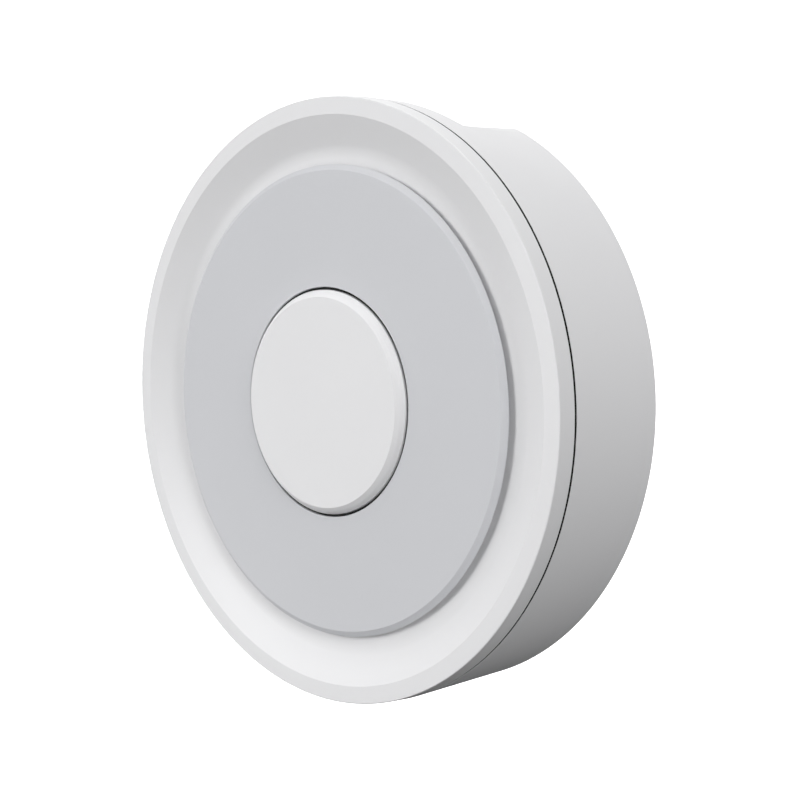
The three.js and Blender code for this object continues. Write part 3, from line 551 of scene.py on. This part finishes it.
def noise(tree, scale, detail=3.0, roughness=0.5, stretch=(1, 1, 1)):
    """A noise pattern fixed to the piece, with its scale in cells per metre."""
    place = tree.nodes.new("ShaderNodeTexCoord")
    mapping = tree.nodes.new("ShaderNodeMapping")
    mapping.inputs["Scale"].default_value = stretch
    pattern = tree.nodes.new("ShaderNodeTexNoise")
    pattern.inputs["Scale"].default_value = scale
    pattern.inputs["Detail"].default_value = detail
    pattern.inputs["Roughness"].default_value = roughness
    tree.links.new(place.outputs["Object"], mapping.inputs["Vector"])
    tree.links.new(mapping.outputs["Vector"], pattern.inputs["Vector"])
    return pattern.outputs["Fac"]


def spread(tree, value, low, high):
    """Spreads a 0.3 to 0.7 pattern between two numbers."""
    ranger = tree.nodes.new("ShaderNodeMapRange")
    ranger.inputs["From Min"].default_value = 0.3
    ranger.inputs["From Max"].default_value = 0.7
    ranger.inputs["To Min"].default_value = low
    ranger.inputs["To Max"].default_value = high
    tree.links.new(value, ranger.inputs["Value"])
    return ranger.outputs["Result"]


def tint(tree, value, first, second):
    """A colour between two, following a pattern."""
    ramp = tree.nodes.new("ShaderNodeValToRGB")
    ramp.color_ramp.elements[0].position = 0.3
    ramp.color_ramp.elements[0].color = (*first, 1)
    ramp.color_ramp.elements[1].position = 0.7
    ramp.color_ramp.elements[1].color = (*second, 1)
    tree.links.new(value, ramp.inputs["Fac"])
    return ramp.outputs["Color"]


def emboss(tree, shader, patterns):
    """Bumps from (pattern, depth in metres) pairs, one on top of another."""
    normal = None
    for pattern, depth in patterns:
        bump = tree.nodes.new("ShaderNodeBump")
        bump.inputs["Strength"].default_value = 1.0
        bump.inputs["Distance"].default_value = depth
        tree.links.new(pattern, bump.inputs["Height"])
        if normal is not None:
            tree.links.new(normal, bump.inputs["Normal"])
        normal = bump.outputs["Normal"]
    tree.links.new(normal, shader.inputs["Normal"])


def shaded(colour, share):
    return tuple(channel * share for channel in colour)


def moulded(name, colour, roughness, grain=0.000004, contrast=0.985, specular=0.4):
    """Injection-moulded plastic: a fine spark-eroded grain, faint flow marks and uneven gloss."""
    material, tree, shader = new_material(name)
    flow = noise(tree, 28, 2.0)
    grain_pattern = noise(tree, 2600, 2.0, 0.6)
    sheen = noise(tree, 160, 4.0, 0.6)
    tree.links.new(tint(tree, flow, shaded(colour, contrast), colour), shader.inputs["Base Color"])
    tree.links.new(spread(tree, sheen, roughness - 0.03, roughness + 0.05), shader.inputs["Roughness"])
    shader.inputs["Specular IOR Level"].default_value = specular
    emboss(tree, shader, [(flow, 0.00001), (grain_pattern, grain)])
    return material


def metal(name, colour, roughness, stretch=(1, 1, 1), scale=900):
    """Bare or plated metal with fine tool marks and dull patches."""
    material, tree, shader = new_material(name)
    marks = noise(tree, scale, 3.0, 0.6, stretch)
    patches = noise(tree, 120, 3.0)
    tree.links.new(tint(tree, patches, shaded(colour, 0.82), colour), shader.inputs["Base Color"])
    tree.links.new(spread(tree, patches, roughness - 0.06, roughness + 0.1), shader.inputs["Roughness"])
    shader.inputs["Metallic"].default_value = 1.0
    emboss(tree, shader, [(marks, 0.000006)])
    return material


def rubber():
    material, tree, shader = new_material("seal_rubber")
    dust = noise(tree, 500, 4.0, 0.6)
    dusty = tint(tree, dust, (0.006, 0.006, 0.0065), (0.012, 0.012, 0.0125))
    tree.links.new(dusty, shader.inputs["Base Color"])
    tree.links.new(spread(tree, dust, 0.75, 0.92), shader.inputs["Roughness"])
    shader.inputs["Specular IOR Level"].default_value = 0.2
    emboss(tree, shader, [(dust, 0.00002)])
    return material


def acrylic(name, dull, clear):
    """Polished acrylic between two colours, with a little haze."""
    material, tree, shader = new_material(name)
    haze = noise(tree, 240, 3.0)
    tree.links.new(tint(tree, haze, dull, clear), shader.inputs["Base Color"])
    tree.links.new(spread(tree, haze, 0.05, 0.16), shader.inputs["Roughness"])
    shader.inputs["Transmission Weight"].default_value = 0.75
    shader.inputs["IOR"].default_value = 1.49
    emboss(tree, shader, [(haze, 0.000005)])
    return material


def board():
    """Green solder resist over copper pours, seen as darker and lighter patches."""
    material, tree, shader = new_material("board_green")
    place = tree.nodes.new("ShaderNodeTexCoord")
    cells = tree.nodes.new("ShaderNodeTexVoronoi")
    cells.distance = "CHEBYCHEV"
    cells.feature = "DISTANCE_TO_EDGE"
    cells.inputs["Scale"].default_value = 180
    tree.links.new(place.outputs["Object"], cells.inputs["Vector"])
    tracks = tree.nodes.new("ShaderNodeValToRGB")
    tracks.color_ramp.elements[0].position = 0.04
    tracks.color_ramp.elements[0].color = (0.02, 0.14, 0.045, 1)
    tracks.color_ramp.elements[1].position = 0.07
    tracks.color_ramp.elements[1].color = (0.010, 0.075, 0.028, 1)
    tree.links.new(cells.outputs["Distance"], tracks.inputs["Fac"])
    tree.links.new(tracks.outputs["Color"], shader.inputs["Base Color"])
    weave = noise(tree, 1200, 2.0)
    tree.links.new(spread(tree, weave, 0.28, 0.42), shader.inputs["Roughness"])
    emboss(tree, shader, [(weave, 0.000008), (cells.outputs["Distance"], 0.00003)])
    return material


def printed_wrap():
    """A shrink-wrapped cell: a blue sleeve with a faint wrinkle along it."""
    material, tree, shader = new_material("cell_wrap")
    wrinkle = noise(tree, 300, 3.0, 0.5, (0.15, 1, 1))
    colours = tint(tree, wrinkle, (0.035, 0.085, 0.22), (0.06, 0.13, 0.29))
    tree.links.new(colours, shader.inputs["Base Color"])
    tree.links.new(spread(tree, wrinkle, 0.25, 0.42), shader.inputs["Roughness"])
    shader.inputs["Coat Weight"].default_value = 0.3
    emboss(tree, shader, [(wrinkle, 0.00004)])
    return material


def ceramic():
    material, tree, shader = new_material("fired_ceramic")
    speckle = noise(tree, 700, 4.0, 0.7)
    tree.links.new(tint(tree, speckle, (0.62, 0.59, 0.5), (0.8, 0.77, 0.68)), shader.inputs["Base Color"])
    tree.links.new(spread(tree, speckle, 0.45, 0.65), shader.inputs["Roughness"])
    emboss(tree, shader, [(speckle, 0.00001)])
    return material


def bead_glass():
    material, tree, shader = new_material("bead_glass")
    swirl = noise(tree, 900, 3.0)
    tree.links.new(tint(tree, swirl, (0.02, 0.022, 0.026), (0.05, 0.05, 0.055)), shader.inputs["Base Color"])
    tree.links.new(spread(tree, swirl, 0.08, 0.2), shader.inputs["Roughness"])
    shader.inputs["Coat Weight"].default_value = 0.5
    emboss(tree, shader, [(swirl, 0.00001)])
    return material


WHITE = (0.80, 0.80, 0.811)
DISC_GREY = (0.612, 0.619, 0.643)
FINISHES = {
    "housing_white": moulded("housing_white", WHITE, 0.48),
    "disc_grey": moulded("disc_grey", DISC_GREY, 0.5),
    "plate_white": moulded("plate_white", (0.72, 0.72, 0.715), 0.58, 0.000008),
    "seal_black": rubber(),
    "clear_acrylic": acrylic("clear_acrylic", (0.82, 0.87, 0.89), (0.92, 0.95, 0.96)),
    # Painted shade: near-black acrylic for the light guide's lip, which darkens the gap round the button.
    "smoked_acrylic": acrylic("smoked_acrylic", (0.012, 0.012, 0.014), (0.02, 0.02, 0.022)),
    "board_green": board(),
    "black_plastic": moulded("black_plastic", (0.016, 0.016, 0.017), 0.45, 0.000008, 0.7),
    "steel": metal("plated_steel", (0.62, 0.63, 0.64), 0.3),
    "brass": metal("rolled_brass", (0.72, 0.52, 0.22), 0.3, (6, 1, 1)),
    "copper": metal("wound_copper", (0.72, 0.33, 0.17), 0.34, (1, 12, 1)),
    "ceramic_white": ceramic(),
    "cell_wrap": printed_wrap(),
    "glass_bead": bead_glass(),
}
NODE_FINISHES = {
    "sounder_chamber": "black_plastic",
    "sounder_plate": "brass",
    "sounder_ceramic": "ceramic_white",
    "sounder_contact_centre": "steel",
    "sounder_contact_edge": "steel",
    "lithium_cell": "cell_wrap",
    "cell_cradle": "black_plastic",
    "cell_tab_positive": "steel",
    "cell_tab_negative": "steel",
    "circuit_board": "board_green",
    "microcontroller": "black_plastic",
    "radio_chip": "black_plastic",
    "sounder_driver": "black_plastic",
    "radio_shield": "steel",
    "radio_antenna": "copper",
    "crystal": "steel",
    "boost_inductor": "copper",
    "sounder_transformer": "copper",
    "reservoir_capacitor": "black_plastic",
    "filter_capacitor": "black_plastic",
    "status_light": "clear_acrylic",
    "tact_switch": "black_plastic",
    "switch_plunger": "black_plastic",
    "thermistor": "glass_bead",
    "thermistor_sleeve": "seal_black",
}
for kind, count in (("case", 3), ("board", 3), ("disc", 3)):
    for number in range(1, count + 1):
        NODE_FINISHES[f"{kind}_screw_{number}"] = "steel"


def finish_cad_nodes():
    """Gives each CAD node that stays its own finish."""
    for node, finish in NODE_FINISHES.items():
        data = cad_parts[node].data
        if not data.materials:
            data.materials.append(FINISHES[finish])
        for index in range(len(data.materials)):
            data.materials[index] = FINISHES[finish]


# ---- casing ----
def cove():
    """The air channel from the bezel in to the floor below the disc: a cone, then a soft bend."""
    foot = BEZEL_INNER_RADIUS - (BEZEL_HEIGHT - FLOOR_HEIGHT) / math.tan(COVE_TILT)
    return [(BEZEL_INNER_RADIUS, BEZEL_HEIGHT, COVE_EDGE), (foot, FLOOR_HEIGHT, COVE_BEND)]


def front_shell():
    inner = CASE_RADIUS - CASE_WALL
    back = REAR_FRONT + SEAM_WIDTH
    shell = lathe("front_shell", [
        (0, FLOOR_BACK),
        (FLOOR_BACK_RADIUS, FLOOR_BACK),
        (UNDERSIDE_RADIUS, SEAL_TOP + CLEARANCE),
        (inner, SEAL_TOP + CLEARANCE),
        (inner, back),
        (CASE_RADIUS, back, SEAM_EDGE),
        (CASE_RADIUS - FRONT_TAPER, BEZEL_HEIGHT, BEZEL_EDGE),
        *cove(),
        (0, FLOOR_HEIGHT),
    ])
    boss, boss_end = COVER_BOSS
    bosses = []
    for angle in CASE_SCREW_ANGLES:
        x, up = polar(CASE_SCREW_CIRCLE, angle)
        bosses.append(tube(boss, CASE_SCREW_BORE, boss_end, FLOOR_BACK + OVERLAP, x, up))
    sensor, sensor_x, sensor_up = SENSOR_HOLE
    openings = [
        rod(STEM_RADIUS + CLEARANCE, *FLOOR_TOOLS),
        rod(sensor, *FLOOR_TOOLS, sensor_x, sensor_up),
        rod(LIGHT_HOLE_RADIUS, *FLOOR_TOOLS, LIGHT_LEG_CIRCLE, 0),
    ]
    low = FLOOR_BACK - OVERSHOOT
    high = FLOOR_HEIGHT + OVERSHOOT
    for angle in THREE_LEGS:
        openings.append(arc_block(*LATCH_OPENING, low, high, angle, LATCH_OPENING_HALF_ANGLE))
        openings.append(rod(POST_RADIUS + CLEARANCE, *FLOOR_TOOLS, *polar(POST_CIRCLE, angle)))
    for angle in SOUND_SLOT_ANGLES:
        openings.append(arc_block(*SOUND_SLOTS, low, high, angle, SOUND_SLOT_HALF_ANGLE))
    join(shell, bosses)
    cut(shell, openings)
    install(shell, "cover_shell", "front_cover", "head", FINISHES["housing_white"])


def flat_sided_radius(angle, radius, flat):
    """The rear casing's outline at an angle: round, with a flat along the top and soft corners."""
    rise = math.sin(math.radians(angle))
    if rise < 0.5:
        return radius
    to_flat = flat / rise
    share = min(max(0.5 + 0.5 * (to_flat - radius) / FLAT_SOFTNESS, 0), 1)
    return to_flat * (1 - share) + radius * share - FLAT_SOFTNESS * share * (1 - share)


CORNER_REACH = 2.2  # degrees of finer steps on either side of the flat's corners
CORNER_HALF_STEPS = 11


def outline_angles():
    """Steps round the casing, closer together where the flat's corners are."""
    corner = math.degrees(math.asin(FLAT_DISTANCE / CASE_RADIUS))
    fine = CORNER_REACH / CORNER_HALF_STEPS
    angles = [360 * step / RING for step in range(RING)]
    for middle in (corner, 180 - corner):
        angles = [angle for angle in angles if abs(angle - middle) > CORNER_REACH + fine]
        angles += [middle + fine * step for step in range(-CORNER_HALF_STEPS, CORNER_HALF_STEPS + 1)]
    return sorted(angles)


def loft(name, rings):
    """A solid through rings, each given as a function from an angle to a radius and a height."""
    mesh = bmesh.new()
    angles = outline_angles()
    made = []
    for ring in rings:
        corners = []
        for angle in angles:
            radius, height = ring(angle)
            corners.append(mesh.verts.new(at(*polar(radius, angle), height)))
        made.append(corners)
    skin(mesh, made, closed=False)
    mesh.faces.new(made[0])
    mesh.faces.new(made[-1])
    return finished(name, mesh)


def rear_outside():
    """The rear casing's outer form, with a rounded back edge and a ledge in front of the flat."""
    def flat_at(height):
        return FLAT_DISTANCE + FLAT_DRAFT * (0.5 - height / FLAT_END)

    def flat_sided(inset, height):
        return lambda angle: (flat_sided_radius(angle, CASE_RADIUS, flat_at(height)) - inset, height)

    def ledge(share):
        """Where the flat ends: a small rounding that fades out beside the flat."""
        def ring(angle):
            step = CASE_RADIUS - flat_sided_radius(angle, CASE_RADIUS, flat_at(FLAT_END))
            size = LEDGE_LIP * min(step, 1)
            turn = share * math.pi / 2
            return CASE_RADIUS - size * (1 - math.sin(turn)), FLAT_END + size * (1 - math.cos(turn))
        return ring

    rings = []
    for step in range(EDGE_STEPS + 1):
        turn = math.pi / 2 * step / EDGE_STEPS
        rise = CASE_EDGE * (1 - math.cos(turn))
        rings.append(flat_sided(CASE_EDGE * (1 - math.sin(turn)), WALL_GAP + rise))
    rings.append(flat_sided(0, FLAT_END))
    rings += [ledge(step / LEDGE_STEPS) for step in range(LEDGE_STEPS + 1)]
    rings.append(lambda angle: (CASE_RADIUS, REAR_FRONT - SEAM_EDGE))
    rings.append(lambda angle: (CASE_RADIUS - SEAM_EDGE, REAR_FRONT))
    return loft("rear_outside", rings)


def rear_cavity():
    inner = CASE_RADIUS - CASE_WALL
    flat = FLAT_DISTANCE - CASE_WALL
    ledge = FLAT_END + CASE_WALL

    def flat_sided(height):
        return lambda angle: (flat_sided_radius(angle, inner, flat), height)

    rings = [flat_sided(WALL_GAP + CASE_WALL), flat_sided(ledge)]
    rings.append(lambda angle: (inner, ledge + LEDGE_STEP))
    rings.append(lambda angle: (inner, REAR_FRONT + OVERSHOOT))
    cavity = loft("rear_cavity", rings)
    core = rod(WELL_RADIUS + WELL_WALL, -OVERSHOOT, WELL_DEPTH + WELL_WALL, segments=RING)
    return cut(cavity, [core])


def rear_shell():
    shell = cut(rear_outside(), [rear_cavity()])
    well = lathe("well", [
        (0, -OVERSHOOT),
        (WELL_RADIUS + WELL_RIM, -OVERSHOOT),
        (WELL_RADIUS + WELL_RIM, WALL_GAP),
        (WELL_RADIUS, WALL_GAP + WELL_RIM),
        (WELL_RADIUS, WELL_DEPTH, 0.6),
        (0, WELL_DEPTH),
    ])
    cut(shell, [well])
    added = []
    bores = []
    boss, boss_end = REAR_BOSS
    recess = [
        (0, -OVERSHOOT),
        (RECESS_MOUTH, -OVERSHOOT),
        (RECESS_MOUTH, WALL_GAP),
        (RECESS_RADIUS, WALL_GAP + RECESS_EDGE),
        (RECESS_RADIUS, RECESS_FLOOR),
        (0, RECESS_FLOOR),
    ]
    for angle in CASE_SCREW_ANGLES:
        x, up = polar(CASE_SCREW_CIRCLE, angle)
        added.append(rod(boss, WALL_GAP + BOSS_INSET, boss_end, x, up))
        bores.append(lathe("recess", recess, SMALL, x, up))
        bores.append(rod(CASE_SCREW_BORE, RECESS_FLOOR - OVERSHOOT, BORE_END, x, up))
    for angle in LUG_ANGLES:
        outer = WELL_RADIUS + OVERLAP
        added.append(arc_block(CATCH_INNER, outer, CATCH_BACK, CATCH_FRONT, angle, LUG_HALF_ANGLE))
    for x, up in BOARD_POSTS:
        added.append(tube(*BOARD_POST, WELL_DEPTH + WELL_WALL - OVERLAP, BOARD_POST_END, x, up))
    # Shallow round marks where the ejector pins pushed the casing out of its mould.
    mark, depth = EJECTOR_MARK
    for angle in EJECTOR_ANGLES:
        bores.append(rod(mark, -OVERSHOOT, WALL_GAP + depth, *polar(EJECTOR_CIRCLE, angle)))
    join(shell, added)
    cut(shell, bores)
    install(shell, "rear_shell", "rear_housing", "head", FINISHES["housing_white"])


def seal_ring():
    """The black seal behind the seam, with a lip that fills the seam nearly to the surface: painted shade, a
    black part standing in for the shadow in the gap between the shells.
    """
    # The lip is painted shade: its black stands in for the shadow deep in the seam.
    lip = CASE_RADIUS - LIP_INSET
    lip_back = REAR_FRONT + LIP_GAP
    lip_front = REAR_FRONT + SEAM_WIDTH - LIP_GAP
    ring = lathe("seal", [
        (SEAL_RADIUS - 1, SEAL_BACK, 0.2),
        (SEAL_RADIUS, SEAL_BACK, 0.3),
        (SEAL_RADIUS, lip_back),
        (lip, lip_back, LIP_EDGE),
        (lip, lip_front, LIP_EDGE),
        (SEAL_RADIUS, lip_front),
        (SEAL_RADIUS, SEAL_TOP, 0.3),
        (SEAL_RADIUS - 1, SEAL_TOP, 0.2),
    ])
    install(ring, "seal_ring", "seam_seal", "head", FINISHES["seal_black"])


def wall_plate():
    """The plate that is screwed to the wall, with its bayonet lugs, ribs and screw slots."""
    rim = PLATE_RIM_HEIGHT
    edge = PLATE_RADIUS
    plate = lathe("plate", [
        (0, PLATE_BACK),
        (edge, PLATE_BACK, 0.4),
        (edge, rim, 0.3),
        (edge - PLATE_WALL, rim, 0.3),
        (edge - PLATE_WALL, PLATE_THICKNESS, 0.5),
        (0, PLATE_THICKNESS),
    ])
    rib_back = PLATE_THICKNESS - RIB_OVERLAP
    added = [tube(*HUB, rib_back, RIB_FRONT, segments=HUB_STEPS)]
    for angle in LUG_ANGLES:
        stop = angle - LUG_HALF_ANGLE - STOP_TURN
        added.append(arc_block(edge - LUG_ROOT, LUG_RADIUS, LUG_BACK, rim, angle, LUG_HALF_ANGLE))
        added.append(arc_block(edge - LUG_ROOT, LUG_RADIUS, STOP_BACK, rim, stop, STOP_HALF_ANGLE))
    for angle in RIB_ANGLES:
        added.append(bar(2 * (edge - LUG_ROOT), RIB_WIDTH, rib_back, RIB_FRONT, angle))
    join(plate, added)
    relief_length, relief_width, relief_depth = SLOT_RELIEF
    cuts = []
    for x in (-SLOT_CIRCLE, SLOT_CIRCLE):
        cuts.append(slot(*SLOT, -OVERSHOOT, RIB_FRONT + SLOT_PAST_RIB, x))
        cuts.append(slot(relief_length, relief_width, -OVERSHOOT, relief_depth, x))
    # Shallow moulding relief on the side against the wall.
    for outer, inner in RELIEF_GROOVES:
        cuts.append(tube(outer, inner, -OVERSHOOT, GROOVE_DEPTH, segments=RING))
    gate, gate_depth = GATE_MARK
    cuts.append(rod(gate, -OVERSHOOT, gate_depth))
    pin, pin_depth = PIN_MARK
    for angle in PIN_MARK_ANGLES:
        cuts.append(rod(pin, -OVERSHOOT, pin_depth, *polar(PIN_MARK_CIRCLE, angle)))
    cut(plate, cuts)
    finish = FINISHES["plate_white"]
    install(plate, "wall_plate_moulding", "mounting_plate", "wall_plate", finish)


# ---- front ----
def floating_disc():
    """The grey disc in front of the air inlet, with a fine bevel round its rim."""
    disc = lathe("disc", [
        (DISC_HOLE_RADIUS, DISC_BACK, 0.15),
        (DISC_BACK_RADIUS, DISC_BACK, 0.2),
        (DISC_RADIUS, DISC_EDGE_HEIGHT - DISC_RIM, 0.1),
        (DISC_RADIUS, DISC_EDGE_HEIGHT, 0.08),
        (DISC_FACE_RADIUS, DISC_FACE, 0.3),
        (DISC_HOLE_RADIUS, DISC_FACE, 0.2),
    ])
    added = []
    bores = []
    for angle in THREE_LEGS:
        x, up = polar(POST_CIRCLE, angle)
        added.append(rod(POST_RADIUS, POST_END, DISC_BACK + POST_ROOT, x, up))
        added.append(rod(POST_SHOULDER, FLOOR_HEIGHT + CLEARANCE, DISC_BACK + SHOULDER_ROOT, x, up))
        bores.append(rod(DISC_SCREW_BORE, POST_END - OVERSHOOT, DISC_BACK - DISC_BORE_END, x, up))
    join(disc, added)
    cut(disc, bores)
    install(disc, "floating_disc", "front_disc", "head", FINISHES["disc_grey"])


def push_button():
    """The white test button: a flat cap with a sloping edge, a stem and three snap legs."""
    cap_back = BUTTON_FACE - BUTTON_WALL
    skirt_inner = BUTTON_RADIUS - BUTTON_WALL
    cap = lathe("cap", [
        (0, cap_back),
        (skirt_inner, cap_back),
        (skirt_inner, BUTTON_SKIRT_END),
        (BUTTON_RADIUS, BUTTON_SKIRT_END, 0.15),
        (BUTTON_RADIUS, BUTTON_EDGE_HEIGHT, 0.15),
        (*BUTTON_BROW, 2),
        (BUTTON_FACE_RADIUS, BUTTON_FACE, 0.12),
        (0, BUTTON_FACE),
    ])
    hook_front = FLOOR_BACK - CLEARANCE
    hook_back = hook_front - LATCH_HOOK_HEIGHT
    root = cap_back + OVERLAP
    leg = LATCH_HALF_ANGLE
    added = [rod(STEM_RADIUS, STEM_END, root)]
    for angle in THREE_LEGS:
        added.append(arc_block(LATCH_INNER, LATCH_OUTER, hook_back, root, angle, leg))
        added.append(arc_block(LATCH_MIDDLE, LATCH_HOOK, hook_back, hook_front, angle, leg - 1))
    join(cap, added)
    install(cap, "push_button", "test_button", "button", FINISHES["housing_white"])


def light_ring():
    """The light guide in near-black acrylic, painted shade for the gap round the button: a flat ring behind
    the disc, a lip in the gap round the button, a leg.
    """
    ring = lathe("light_ring", [
        (LIGHT_LIP_INNER, LIGHT_RING_BACK, 0.05),
        (LIGHT_RING_OUTER, LIGHT_RING_BACK, 0.1),
        (LIGHT_RING_OUTER, LIGHT_RING_FRONT, 0.1),
        (LIGHT_LIP_OUTER, LIGHT_RING_FRONT, 0.05),
        (LIGHT_LIP_OUTER, LIGHT_LIP_FRONT, 0.05),
        (LIGHT_LIP_INNER, LIGHT_LIP_FRONT, 0.05),
    ])
    leg_end = reach("light_guide")[1]
    leg = rod(LIGHT_LEG_RADIUS, leg_end, LIGHT_RING_BACK + LIGHT_LEG_ROOT, LIGHT_LEG_CIRCLE, 0)
    join(ring, [leg])
    install(ring, "light_ring", "light_guide", "head", FINISHES["smoked_acrylic"])


def return_spring():
    """A conical coil of round wire, built at rest; the real spring flattens as the button goes in."""
    mesh = bmesh.new()
    rings = []
    high_radius = SPRING_RADIUS - SPRING_WIRE
    rise = SPRING_FRONT - SPRING_BACK - 2 * SPRING_WIRE
    for step in range(SPRING_STEPS + 1):
        share = step / SPRING_STEPS
        turn = 360 * SPRING_TURNS * share
        radius = SPRING_LOW_RADIUS + (high_radius - SPRING_LOW_RADIUS) * share
        height = SPRING_BACK + SPRING_WIRE + rise * share
        ring = []
        for side in range(SPRING_SIDES):
            out, forward = polar(SPRING_WIRE, 360 * side / SPRING_SIDES)
            ring.append(mesh.verts.new(at(*polar(radius + out, turn), height + forward)))
        rings.append(ring)
    skin(mesh, rings, closed=False)
    mesh.faces.new(rings[0])
    mesh.faces.new(rings[-1])
    coil = finished("coil", mesh)
    install(coil, "return_spring", "button_spring", "head", FINISHES["steel"])
    coil.modifiers.clear()
    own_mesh(coil)


# ---- the scene ----
make_camera()
make_dome()
add_panels()
make_room()
bpy.context.scene.view_settings.view_transform = "Standard"

finish_cad_nodes()
front_shell()
rear_shell()
seal_ring()
wall_plate()
floating_disc()
push_button()
light_ring()
return_spring()
